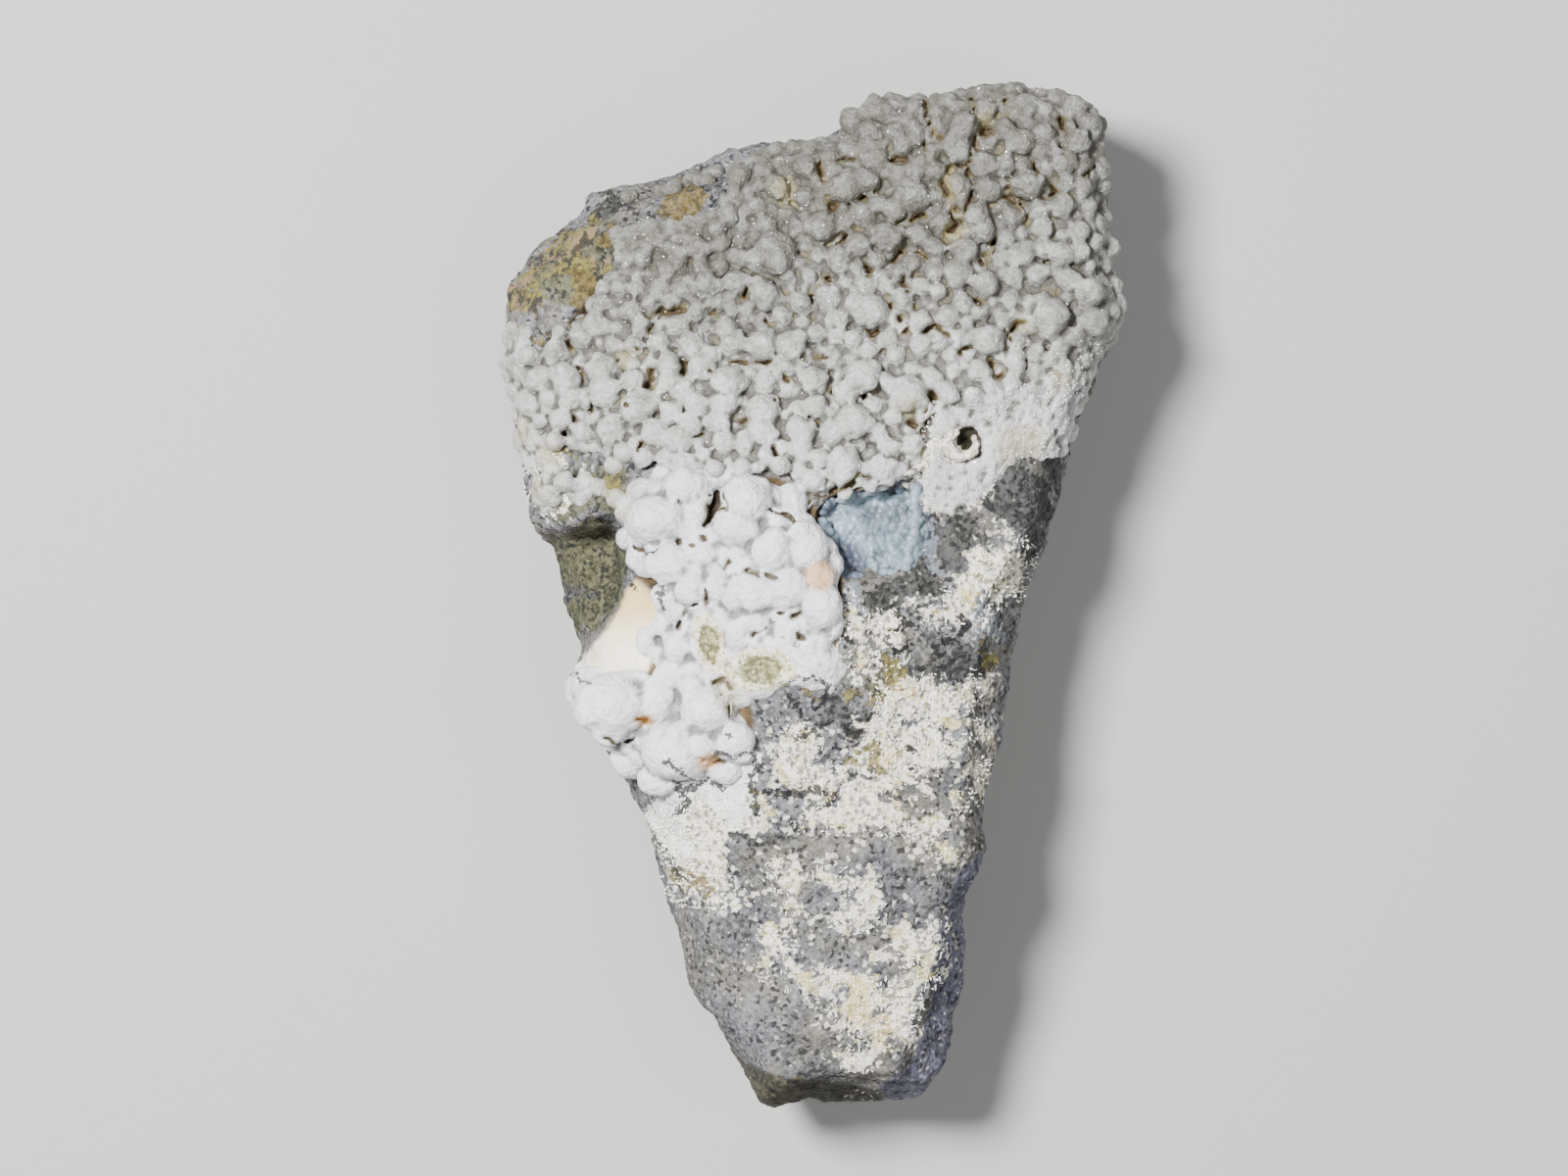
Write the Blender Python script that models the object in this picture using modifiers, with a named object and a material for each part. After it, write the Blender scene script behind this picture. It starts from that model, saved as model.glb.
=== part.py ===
"""Hand specimen of grey volcanic rock under a crust of botryoidal chalcedony, grown as one stone.

It lies on its flat broken back with the crusted face up. Metres, +Z up, +Y towards the wide crusted end.
The tables below are in millimetres from the middle of the face, x to the right and y towards the wide end.
"""

import math
import random

import bmesh
import bpy
import numpy as np
from mathutils import Matrix, Vector, noise

MM = 0.001

# Driving sizes in millimetres
LENGTH = 160.0  # pointed end to the far crusted edge
WIDTH = 97.5  # widest across the crusted part
HEIGHT = 53.0  # flat back to the highest lump
BELOW = 4.0  # rock below the plane where the back is broken off
BACK_TAPER = 0.17  # how far the sides lean in towards the back, as a share of the half width
WIDEST = 0.62  # height where the sides start to lean in, as a share of the thickness
RIM_REACH = 6.0  # the face rolls over into the sides within this distance of the outline
RIM_DROP = 7.0
RECESS_DEPTH = 13.0  # broken hollow on the left, under the cream nodule
POCKET_DEPTH = 4.5  # sunken pocket below the crust
NODULE_BOWL = 1.0  # shell-like hollow in the broken face of the cream nodule
BED_DROP = 1.3  # the crust's bed lies this far under the tops of its smallest lumps
SHAPE_SPREAD = 8.0  # reach of one height of the relief
SLAB_VOXEL = 1.5
STONE_VOXEL = 0.85
ROUGHNESS = ((14, 1.5), (5.5, 0.9), (3.4, 0.35))  # size and height of the bumps of broken rock
FILLER_WIDTHS = (3.6, 3.0)
FILLER_THROWS = 2600
BROKEN_NODULES = ((-16, -6.9, 3.5, 4.7), (-6.5, -10.5, 6.7, 4.2))  # x, y, half width, half length
RING_NODULE = (23.2, 23.8, 2.25, 1.05)  # x, y, radius, half thickness
RING_LUMPS = 14
TRIANGLES = 10400  # before the back is cut flat
SEED = 11

OUTLINE = (
    (-48, 48), (-42.5, 55.5), (-37, 60.5), (-34.5, 63), (-27, 64.5), (-18.5, 67), (-12, 69.5),
    (-4.5, 70.5), (4.5, 71.5), (5.5, 74), (8.5, 76.5), (14.5, 77.5), (21, 78.5), (31.5, 80),
    (36, 78.5), (42.5, 77.5), (45, 74.5), (45.5, 69), (46.5, 66), (45.5, 60.5), (47, 55.5),
    (46.5, 51), (49, 46), (47.5, 40.5), (44.5, 37), (43, 31.5), (41, 24), (39, 16.5), (37, 9),
    (34, 3), (31, -2.5), (31, -14.5), (29.5, -20.5), (27.5, -28), (25.5, -33), (27, -39),
    (24.5, -43.5), (23, -49), (23.5, -58.5), (21.5, -65.5), (20, -73.5), (16.5, -78), (10.5, -80),
    (4, -79.5), (0, -78.5), (-5.5, -80), (-8.5, -77.5), (-10.5, -73.5), (-14, -68), (-17, -62),
    (-19.5, -54), (-23, -46), (-24.5, -40), (-25.5, -34.5), (-28, -28.5), (-30.5, -24.5),
    (-34.5, -21), (-37.5, -16.5), (-38.5, -13.5), (-36, -10), (-38.5, -4.5), (-40, 1.5), (-42, 9),
    (-44.5, 13.5), (-46.5, 23), (-47.5, 32), (-49, 36.5), (-48, 42.5),
)

# Heights of the face above the back: x, y, z
RELIEF = (
    (-43.5, 51, 30), (-34.5, 60.5, 31), (-40.5, 43.5, 34), (-47, 40.5, 31), (-21, 63, 35),
    (-28.5, 55.5, 35), (-4.5, 67.5, 36), (6, 72.5, 37), (19.5, 75, 38), (37.5, 75, 38),
    (43.5, 61.5, 38), (46.5, 46.5, 37), (25.5, 61.5, 39), (3, 57, 39), (-19.5, 49.5, 39),
    (-31.5, 46.5, 38), (-45, 31.5, 35), (-28.5, 34.5, 41), (-4.5, 39, 40), (18, 42, 41),
    (37.5, 39, 41), (-40.5, 21, 35), (-27, 19.5, 43), (-12, 24, 43), (4.5, 27, 43), (25.5, 27, 43),
    (39, 25.5, 37), (-39, 7.5, 33), (-21, 10.5, 46), (-9, 13.5, 47), (6, 13.5, 44), (19.5, 13.5, 43),
    (34, 10.5, 38), (25.5, 1.5, 42), (-36, -4.5, 34), (-25.5, -6, 45), (-36, -15, 38),
    (-16.5, -1.5, 49), (-3, 0, 50), (10.5, -4.5, 48), (28, -10.5, 41), (-28.5, -19.5, 43),
    (-18, -21, 47), (-4.5, -19.5, 48), (10.5, -22.5, 47), (24, -24, 42), (-22.5, -34.5, 39),
    (-10.5, -36, 45), (4.5, -37.5, 46), (19.5, -39, 43), (-19.5, -48, 36), (-10.5, -52.5, 43),
    (3, -54, 44), (15, -54, 41), (-12, -67.5, 38), (0, -66, 42), (9, -69, 40), (18, -67.5, 36),
    (-4.5, -76.5, 34), (10.5, -77.5, 34), (-26.5, -1, 44.5), (-27, -11, 44), (-33, -12.5, 42),
    (-38, -13, 38),
)

RECESS = (
    (-50.8, 7.3), (-40.3, 11.1), (-34.3, 12.3), (-28.6, 12.3), (-28.1, 7.3), (-28.1, 1.6),
    (-28.9, -0.4), (-31.3, -4.6), (-34.3, -8.2), (-36.1, -10.3), (-40.3, -13.6), (-50.8, -13.6),
)
POCKET = (
    (0.5, 13.0), (2.5, 15.0), (7.7, 16.2), (13.0, 17.4), (16.4, 18.3), (16.1, 14.8), (15.8, 10.3),
    (14.6, 5.1), (10.7, 2.8), (5.0, 2.2), (3.2, 5.1), (2.0, 9.2),
)
NODULE_FACE = (
    (-27.5, 1.6), (-24.5, -1.6), (-24, -4.6), (-26, -12.2), (-34.3, -13.6), (-38.3, -13), (-34.3, -9),
    (-31.3, -5.4), (-29, -1.6),
)
CRUST = (
    (-40.5, 40.5), (-28.5, 52), (-14, 58), (-12, 66.5), (-4.5, 70), (4.5, 70.5), (6, 74.5), (9, 77),
    (18, 77), (31.5, 79.5), (44.5, 75), (45.5, 67.5), (46.5, 55.5), (48.5, 46), (44.5, 38),
    (38.5, 32), (27, 31), (18, 28.5), (17, 21), (11.5, 17.5), (1, 15), (-4.5, 19.5), (-19.5, 19.5),
    (-40.5, 24), (-46.5, 27), (-48, 34.5),
)

# Broken planes on the edges: a point on the plane, the way it faces, how far it reaches
CHIPS = (
    ((18.2, -60, 39), (0.73, -0.32, 0.6), 24),
    ((24.5, -40, 38), (0.82, -0.2, 0.53), 18),
    ((0, -75.6, 36), (0.05, -0.95, 0.3), 24),
    ((-19.3, -54, 33), (-0.8, -0.32, 0.5), 20),
    ((-33, 61, 29), (-0.45, 0.7, 0.55), 22),
    ((-45.5, 47, 30.5), (-0.7, 0.25, 0.67), 13),
    ((44, 30, 34), (0.85, -0.25, 0.46), 20),
    ((30, -10, 33), (0.92, -0.1, 0.38), 20),
    ((43, 64, 12), (0.72, 0.4, -0.56), 34),
    ((8, 72, 11), (-0.15, 0.82, -0.55), 40),
    ((-38, 52, 11), (-0.6, 0.6, -0.53), 34),
    ((-44, 26, 9), (-0.84, 0.05, -0.54), 30),
    ((-36, -6, 12), (-0.85, -0.2, -0.5), 26),
    ((-25, -34, 10), (-0.8, -0.3, -0.52), 30),
    ((-13, -62, 11), (-0.75, -0.3, -0.6), 28),
    ((4, -75, 13), (0.05, -0.8, -0.6), 30),
    ((20, -58, 12), (0.82, -0.1, -0.56), 30),
    ((26, -22, 9), (0.82, -0.15, -0.55), 30),
    ((34, 10, 11), (0.86, -0.2, -0.47), 30),
    ((43, 40, 10), (0.88, 0.0, -0.47), 34),
)

# Chalcedony lumps: x, y, width
LEFT_LUMPS = (
    (-34.0, 42.1, 4.5), (-36.1, 40.0, 3.9), (-28.3, 44.1, 3.9), (-26.9, 41.8, 3.3), (-24.1, 39.1, 3.6),
    (-20.8, 42.1, 3.9), (-18.8, 38.8, 4.5), (-22.3, 35.8, 4.2), (-22.0, 33.1, 4.2), (-32.8, 35.1, 5.1),
    (-32.5, 32.1, 5.1), (-28.1, 33.1, 3.9), (-38.5, 33.6, 5.1), (-42.5, 33.6, 4.5), (-40.3, 38.1, 3.9),
    (-44.0, 29.8, 4.5), (-41.0, 30.6, 3.9), (-37.7, 30.9, 4.5), (-39.2, 27.6, 4.2), (-34.7, 30.3, 3.6),
    (-31.3, 25.8, 5.1), (-35.8, 25.2, 3.6), (-27.5, 29.1, 5.4), (-24.8, 30.3, 3.9), (-22.0, 28.3, 3.9),
    (-20.2, 31.5, 4.5), (-18.2, 29.7, 3.9), (-17.6, 35.1, 4.2), (-13.6, 41.4, 3.9), (-12.5, 39.3, 4.5),
    (-13.3, 32.8, 5.6), (-14.0, 29.7, 4.8), (-14.8, 26.8, 4.2), (-24.5, 25.3, 4.5), (-20.8, 23.8, 4.5),
    (-19.0, 26.2, 3.6), (-38.8, 17.8, 3.3), (-41.0, 15.6, 3.6), (-20.3, 20.6, 3.6), (-17.0, 21.6, 3.0),
)
MIDDLE_LUMPS = (
    (-7.6, 46.8, 5.1), (-10.3, 44.4, 2.4), (-8.0, 42.3, 3.0), (-8.0, 38.8, 5.1), (-3.5, 38.8, 5.1),
    (-4.9, 35.2, 4.2), (-7.3, 32.8, 3.9), (-7.9, 28.5, 5.4), (-8.0, 25.3, 4.8), (-10.7, 23.6, 3.9),
    (-13.7, 23.8, 3.9), (-2.2, 25.8, 4.2), (-2.0, 22.8, 4.2), (-5.8, 53.5, 6.8), (-8.9, 52.0, 3.9),
    (-11.8, 52.6, 3.6), (-14.2, 54.6, 3.0), (-17.8, 53.8, 3.6), (-20.8, 52.9, 3.3), (-22.6, 50.7, 3.6),
    (-16.3, 48.0, 4.5), (-11.8, 48.6, 3.9), (-20.0, 47.8, 4.2), (-23.8, 47.7, 3.6), (-27.5, 47.7, 3.3),
    (-7.1, 57.4, 3.6), (-10.9, 56.8, 3.0), (-8.8, 60.4, 3.3), (-5.6, 63.4, 3.9), (-10.1, 62.8, 2.7),
    (2.5, 46.4, 4.5), (-2.0, 45.4, 3.6), (9.2, 44.1, 5.4), (6.7, 45.3, 4.2), (4.0, 43.0, 3.9),
    (3.2, 36.4, 3.6), (0.2, 33.6, 4.2), (0.4, 29.4, 3.6), (5.0, 31.3, 4.5), (7.7, 33.8, 5.1),
    (6.2, 26.8, 5.9), (3.1, 25.2, 4.5), (10.0, 25.2, 3.3), (4.7, 20.2, 5.6), (6.5, 18.0, 3.3),
    (1.1, 21.0, 3.6), (0.2, 17.7, 3.9), (11.5, 22.9, 3.6), (15.4, 23.2, 3.9), (10.6, 19.2, 5.0),
)
FAR_LUMPS = (
    (6.2, 74.1, 4.2), (10.0, 75.1, 5.4), (13.0, 76.2, 4.5), (16.0, 75.8, 3.3), (8.9, 72.1, 3.9),
    (-1.3, 66.6, 3.9), (2.6, 68.4, 3.0), (6.2, 70.2, 3.9), (21.2, 76.8, 3.6), (26.5, 77.8, 3.0),
    (26.9, 75.1, 3.6), (31.4, 78.4, 3.6), (33.1, 76.2, 3.9), (23.5, 73.0, 4.8), (22.0, 70.0, 4.2),
    (23.5, 68.1, 4.2), (29.9, 72.1, 3.9), (32.5, 70.3, 4.5), (35.9, 71.8, 3.3), (38.5, 77.0, 3.9),
    (40.9, 75.8, 4.2), (43.0, 73.2, 4.8), (43.7, 69.4, 3.9), (41.2, 70.6, 3.9), (44.8, 66.4, 3.3),
    (39.2, 67.3, 4.2), (39.7, 64.5, 3.0),
)
RIGHT_LUMPS = (
    (26.5, 66.6, 4.8), (29.6, 66.6, 3.9), (19.0, 65.8, 3.6), (16.4, 66.4, 3.9), (13.6, 65.0, 3.6),
    (5.5, 63.4, 4.8), (8.6, 64.2, 3.9), (3.1, 62.8, 3.9), (15.4, 61.9, 5.3), (12.8, 60.0, 4.2),
    (7.7, 59.1, 4.2), (10.3, 60.8, 3.3), (22.7, 64.0, 3.9), (23.5, 61.3, 3.0), (27.4, 62.8, 3.9),
    (33.5, 63.6, 4.8), (35.5, 59.8, 3.6), (38.6, 60.6, 4.2), (35.6, 57.0, 3.6), (31.1, 59.1, 3.9),
    (25.7, 59.1, 4.2), (26.6, 56.5, 3.6), (1.4, 57.2, 4.9), (4.9, 57.9, 3.6), (11.5, 55.6, 5.1),
    (7.0, 54.4, 4.2), (16.7, 55.9, 3.9), (19.9, 58.0, 3.3), (4.0, 52.2, 4.5), (19.0, 53.7, 3.9),
    (23.6, 53.4, 4.2), (22.7, 50.2, 4.8), (29.5, 52.6, 3.6), (32.5, 52.8, 4.5), (35.6, 53.8, 3.6),
    (38.6, 53.1, 4.2), (41.3, 53.4, 3.9), (41.5, 56.5, 3.6), (44.5, 57.6, 3.6), (42.8, 60.6, 3.3),
    (26.9, 48.3, 4.4), (31.0, 49.5, 3.9), (34.9, 49.9, 3.9), (40.0, 48.9, 4.2), (43.0, 47.1, 4.8),
    (8.5, 48.1, 3.9), (13.7, 50.1, 3.3), (16.9, 47.8, 3.0), (13.9, 45.9, 3.9), (23.5, 45.1, 3.3),
    (37.0, 43.4, 6.2), (33.7, 42.4, 3.9), (43.6, 42.6, 4.5), (40.7, 40.2, 3.6), (21.2, 43.4, 3.9),
    (16.7, 42.6, 3.6), (19.6, 40.0, 3.6), (27.2, 39.6, 5.1), (31.7, 36.3, 3.6), (25.7, 34.8, 3.6),
    (38.5, 38.7, 3.6), (21.7, 37.2, 3.3), (16.7, 38.8, 3.6), (11.5, 39.6, 3.3), (8.6, 37.9, 3.0),
    (14.8, 31.2, 6.0), (16.9, 29.4, 3.3), (20.6, 31.3, 3.9), (18.2, 33.8, 3.6),
)
SHOULDER_LUMPS = (
    (-20.0, 16.6, 6.0), (-17.3, 13.9, 3.9), (-23.5, 12.8, 7.0), (-27.4, 10.2, 4.5), (-9.4, 15.3, 7.4),
    (-5.6, 14.1, 4.2), (-13.9, 11.2, 6.0), (-17.0, 6.4, 4.4), (-20.8, 4.3, 6.6), (-18.5, 0.8, 5.1),
    (-24.5, 3.8, 4.5), (-20.8, -2.7, 3.3), (-7.3, 7.3, 5.3), (-10.3, 6.4, 3.9), (-1.9, 8.4, 5.6),
    (-1.3, 4.8, 5.9), (1.0, 2.5, 4.2), (-7.3, 1.3, 7.0), (-3.4, 1.3, 5.4), (-11.2, -0.3, 4.5),
    (1.0, -1.0, 5.3), (7.0, 0.6, 3.6), (-16.0, -6.9, 7.0), (-11.8, -4.6, 4.5), (-6.7, -9.8, 7.8),
    (-1.3, -8.8, 7.0), (2.0, -12.2, 4.2), (-19.9, -12.2, 5.1), (-22.9, -15.8, 5.1), (-26.0, -15.3, 3.6),
    (-16.9, -18.6, 5.3), (-20.5, -23.4, 6.6), (-23.5, -24.0, 5.1), (-26.9, -25.0, 5.1),
    (-31.3, -18.9, 7.6), (-34.4, -16.6, 4.5), (-28.7, -20.6, 4.5), (-12.5, -23.4, 5.1),
    (-13.4, -27.3, 3.6), (-8.6, -20.4, 5.1), (-4.9, -19.6, 4.2), (-26.0, -28.8, 5.1),
)

STONE_COLOUR = (0.47, 0.47, 0.46, 1.0)
STONE_ROUGHNESS = 0.62


def inside(xy, polygon):
    """Which of the points lie inside the polygon."""
    x, y = xy[:, 0], xy[:, 1]
    found = np.zeros(len(xy), bool)
    for (ax, ay), (bx, by) in zip(polygon, polygon[1:] + polygon[:1]):
        if ay == by:
            continue
        crossing = (ay > y) != (by > y)
        found ^= crossing & (x < (bx - ax) * (y - ay) / (by - ay) + ax)
    return found


def edge_distance(xy, polygon):
    """Distance from each point to the nearest side of the polygon."""
    nearest = np.full(len(xy), 1e9)
    for a, b in zip(polygon, polygon[1:] + polygon[:1]):
        start, along = np.array(a, float), np.array(b, float) - np.array(a, float)
        share = np.clip((xy - start) @ along / (along @ along), 0, 1)
        gap = np.linalg.norm(xy - start - share[:, None] * along, axis=1)
        nearest = np.minimum(nearest, gap)
    return nearest


def step(values, low, high):
    """Smooth rise from 0 at low to 1 at high."""
    share = np.clip((values - low) / (high - low), 0, 1)
    return share * share * (3 - 2 * share)


def sunk(xy, polygon, reach):
    """1 well inside the polygon, 0 outside, with a wall as wide as reach."""
    depth = np.where(inside(xy, polygon), edge_distance(xy, polygon), 0)
    return step(depth, 0, reach)


def face_height(xy):
    """Height of the face without its lumps."""
    points = np.array(RELIEF, float)
    gaps = ((xy[:, None, :] - points[None, :, :2]) ** 2).sum(axis=2)
    weights = np.exp(-gaps / (2 * SHAPE_SPREAD**2)) + 1e-12
    height = (weights * points[:, 2]).sum(axis=1) / weights.sum(axis=1)
    height -= RECESS_DEPTH * sunk(xy, RECESS, 2.5)
    height -= POCKET_DEPTH * sunk(xy, POCKET, 1.6)
    height -= NODULE_BOWL * sunk(xy, NODULE_FACE, 3.0)
    height -= BED_DROP * sunk(xy, CRUST, 2.0)
    roll = 1 - step(edge_distance(xy, OUTLINE), 0, RIM_REACH)
    return height - RIM_DROP * roll**2


def rough(points, size, amount):
    """Uneven offset of each point, up to the amount in each direction, with bumps of the size given."""
    return np.array([noise.noise_vector(Vector(p) / size) for p in points]) * amount


def coordinates(mesh):
    values = np.empty(len(mesh.vertices) * 3)
    mesh.vertices.foreach_get("co", values)
    return values.reshape(-1, 3) / MM


def put_coordinates(mesh, points):
    mesh.vertices.foreach_set("co", np.ascontiguousarray(points * MM).ravel())
    mesh.update()


def evaluated(obj, name):
    """A plain mesh of the object with its modifiers applied, in place of the object."""
    graph = bpy.context.evaluated_depsgraph_get()
    mesh = bpy.data.meshes.new_from_object(obj.evaluated_get(graph))
    mesh.transform(obj.matrix_world)
    mesh.name = name
    bpy.data.objects.remove(obj, do_unlink=True)
    return mesh


def remeshed(mesh, voxel, name):
    """The same solid with all that overlaps fused, in even quads of the voxel size."""
    obj = bpy.data.objects.new(name, mesh)
    bpy.context.scene.collection.objects.link(obj)
    fuse = obj.modifiers.new("fuse", "REMESH")
    fuse.mode = "VOXEL"
    fuse.voxel_size = voxel * MM
    return evaluated(obj, name)


def slab():
    """Plate with the outline of the stone, one unit of height for each millimetre of thickness."""
    curve = bpy.data.curves.new("outline", "CURVE")
    curve.dimensions = "2D"
    curve.fill_mode = "BOTH"
    curve.extrude = (HEIGHT + BELOW) / 2 * MM
    spline = curve.splines.new("POLY")
    spline.points.add(len(OUTLINE) - 1)
    for point, (x, y) in zip(spline.points, OUTLINE):
        point.co = (x * MM, y * MM, 0, 1)
    spline.use_cyclic_u = True
    obj = bpy.data.objects.new("outline", curve)
    obj.location.z = (HEIGHT - BELOW) / 2 * MM
    bpy.context.scene.collection.objects.link(obj)
    bpy.context.view_layer.update()
    mesh = evaluated(obj, "slab")
    bm = bmesh.new()
    bm.from_mesh(mesh)
    bmesh.ops.remove_doubles(bm, verts=bm.verts, dist=1e-7)
    bmesh.ops.recalc_face_normals(bm, faces=bm.faces)
    bm.to_mesh(mesh)
    bm.free()
    return remeshed(mesh, SLAB_VOXEL, "slab")


def chip(points, origin, facing, reach):
    """Push all that stands out beyond a broken plane back to it, near its middle."""
    facing = np.array(facing, float)
    facing /= np.linalg.norm(facing)
    away = points - np.array(origin, float)
    beyond = np.maximum(away @ facing, 0)
    near = 1 - step(np.linalg.norm(away, axis=1), 0.6 * reach, reach)
    return points - (beyond * near)[:, None] * facing


def rock():
    """The stone without its lumps."""
    mesh = slab()
    points = coordinates(mesh)
    share = (points[:, 2] + BELOW) / (HEIGHT + BELOW)
    top = face_height(points[:, :2])
    points[:, 2] = -BELOW + share * (top + BELOW)
    lean = 1 - BACK_TAPER * (1 - step(share, 0, WIDEST)) ** 1.5
    spine = np.interp(points[:, 1], (-80, -20, 80), (5, 0, 0))
    points[:, 0] = spine + (points[:, 0] - spine) * lean
    points[:, 1] *= 0.5 + 0.5 * lean
    for origin, facing, reach in CHIPS:
        points = chip(points, origin, facing, reach)
    for size, amount in ROUGHNESS:
        points += rough(points, size, amount)
    put_coordinates(mesh, points)
    return mesh


def fillers(lumps, dice):
    """Small lumps thrown into the gaps that the placed ones leave in the crust."""
    near = [np.array(lump, float) for lump in lumps]
    added = []
    for width in FILLER_WIDTHS:
        for _ in range(FILLER_THROWS):
            spot = np.array((dice.uniform(-48, 48), dice.uniform(15, 79)))
            taken = np.array(near)
            gaps = np.linalg.norm(taken[:, :2] - spot, axis=1)
            if (gaps < 0.39 * (taken[:, 2] + width)).any():
                continue
            if inside(spot[None], CRUST)[0]:
                near.append(np.array((*spot, width)))
                added.append((*spot, width))
    return added


def ball(x, y, z, sizes, turn):
    """Where a unit ball goes to become one lump."""
    turned = Matrix.Rotation(turn, 4, "Z") @ Matrix.Diagonal((*sizes, 1))
    return Matrix.Translation(Vector((x, y, z))) @ turned


def lump_places(lumps, lift, dice):
    """Rounded lumps half sunk in the face, no two quite alike."""
    spots = np.array(lumps, float)
    places = []
    for (x, y, width), z in zip(spots, face_height(spots[:, :2])):
        radius = width / 2
        sizes = (radius * dice.uniform(0.94, 1.08), radius, radius * dice.uniform(0.95, 1.15))
        rise = lift * radius + dice.uniform(-0.2, 0.25)
        places.append(ball(x, y, z + rise, sizes, dice.uniform(0, math.tau)))
    return places


def nodule_places():
    """Two large nodules broken across, and the lumps that make up a hollow ring nodule."""
    places = []
    for x, y, across, along in BROKEN_NODULES:
        z = face_height(np.array([[x, y]]))[0]
        places.append(ball(x, y, z, (across, along, along / 2.2), 0))
    x, y, radius, thick = RING_NODULE
    z = face_height(np.array([[x, y]]))[0] + thick / 2
    for angle in np.linspace(0, math.tau, RING_LUMPS, endpoint=False):
        place = (x + radius * math.cos(angle), y + radius * math.sin(angle), z)
        places.append(ball(*place, (thick, thick, thick), 0))
    return places


def add_balls(bm, places):
    """Balls at the places, made a few dozen at a time to keep each mesh small."""
    for first in range(0, len(places), 40):
        batch = bmesh.new()
        for place in places[first:first + 40]:
            bmesh.ops.create_icosphere(batch, subdivisions=2, radius=1, matrix=place)
        mesh = bpy.data.meshes.new("batch")
        batch.to_mesh(mesh)
        batch.free()
        bm.from_mesh(mesh)
        bpy.data.meshes.remove(mesh)


def largest_body(bm):
    """Delete all but the largest connected body."""
    left = set(bm.verts)
    bodies = []
    while left:
        front = [left.pop()]
        body = list(front)
        while front:
            vert = front.pop()
            for edge in vert.link_edges:
                other = edge.other_vert(vert)
                if other in left:
                    left.discard(other)
                    front.append(other)
                    body.append(other)
        bodies.append(body)
    bodies.sort(key=len)
    for body in bodies[:-1]:
        bmesh.ops.delete(bm, geom=body, context="VERTS")


def grown_together():
    """The rock with every lump fused to it."""
    dice = random.Random(SEED)
    placed = LEFT_LUMPS + MIDDLE_LUMPS + FAR_LUMPS + RIGHT_LUMPS
    bm = bmesh.new()
    bm.from_mesh(rock())
    bmesh.ops.scale(bm, vec=Vector((1 / MM, 1 / MM, 1 / MM)), verts=bm.verts)
    places = lump_places(placed, 0.5, dice)
    places += lump_places(fillers(placed, dice), 0.1, dice)
    places += lump_places(SHOULDER_LUMPS, 0.35, dice)
    add_balls(bm, places + nodule_places())
    bmesh.ops.scale(bm, vec=Vector((MM, MM, MM)), verts=bm.verts)
    mesh = bpy.data.meshes.new("stone")
    bm.to_mesh(mesh)
    bm.free()
    return remeshed(mesh, STONE_VOXEL, "stone")


def thinned(mesh):
    """Fewer, larger faces, kept densest where the surface bends most."""
    bm = bmesh.new()
    bm.from_mesh(mesh)
    largest_body(bm)
    bmesh.ops.triangulate(bm, faces=bm.faces)
    count = len(bm.faces)
    bm.to_mesh(mesh)
    bm.free()
    obj = bpy.data.objects.new("thinned", mesh)
    bpy.context.scene.collection.objects.link(obj)
    fewer = obj.modifiers.new("fewer", "DECIMATE")
    fewer.ratio = TRIANGLES / count
    fewer.use_collapse_triangulate = True
    return evaluated(obj, "chalcedony_specimen")


def fitted(mesh):
    """Scale the stone to its driving sizes, its broken back still below the ground plane."""
    points = coordinates(mesh)
    low, high = points.min(axis=0), points.max(axis=0)
    points[:, :2] -= (low[:2] + high[:2]) / 2
    points[:, 0] *= WIDTH / (high[0] - low[0])
    points[:, 1] *= LENGTH / (high[1] - low[1])
    points[:, 2] *= HEIGHT / high[2]
    put_coordinates(mesh, points)


def stone_material():
    material = bpy.data.materials.new("chalcedony_and_rock")
    material.use_nodes = True
    shader = material.node_tree.nodes["Principled BSDF"]
    shader.inputs["Base Color"].default_value = STONE_COLOUR
    shader.inputs["Roughness"].default_value = STONE_ROUGHNESS
    shader.inputs["Metallic"].default_value = 0
    material.diffuse_color = STONE_COLOUR
    return material


def collection(name):
    found = bpy.data.collections.new(name)
    bpy.context.scene.collection.children.link(found)
    return found


def back_cutter(cutters):
    """Box that takes the rock away under the flat break of the back."""
    bm = bmesh.new()
    place = Matrix.Translation(Vector((0, 0, -0.02))) @ Matrix.Diagonal((0.2, 0.3, 0.04, 1))
    bmesh.ops.create_cube(bm, size=1, matrix=place)
    mesh = bpy.data.meshes.new("back_cutter")
    bm.to_mesh(mesh)
    bm.free()
    cutter = bpy.data.objects.new("back_cutter", mesh)
    cutter.hide_render = True
    cutter.display_type = "WIRE"
    cutters.objects.link(cutter)
    return cutter


def main():
    for obj in list(bpy.data.objects):
        bpy.data.objects.remove(obj, do_unlink=True)
    noise.seed_set(SEED)  # the bumps' offsets change with the time of day without it
    specimen = collection("clinoptilolite_with_chalcedony")
    cutters = collection("cutters")
    mesh = thinned(grown_together())
    fitted(mesh)
    mesh.materials.clear()
    mesh.materials.append(stone_material())
    stone = bpy.data.objects.new("chalcedony_specimen", mesh)
    specimen.objects.link(stone)
    flat_back = stone.modifiers.new("flat back", "BOOLEAN")
    flat_back.operation = "DIFFERENCE"
    flat_back.solver = "EXACT"
    flat_back.object = back_cutter(cutters)


main()
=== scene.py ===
"""Hand specimen of volcanic rock with a botryoidal chalcedony crust and pale clinoptilolite patches.

The stone lies on its broken back with the crusted face up. Every table is in millimetres, x to the right and
y towards the wide crusted end, and is mapped to the frame's box when a piece is finished.
"""

import math
import random

import bmesh
import bpy
import numpy as np
from bpy.props import FloatProperty, FloatVectorProperty, PointerProperty
from mathutils import Matrix, Vector, noise


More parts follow.
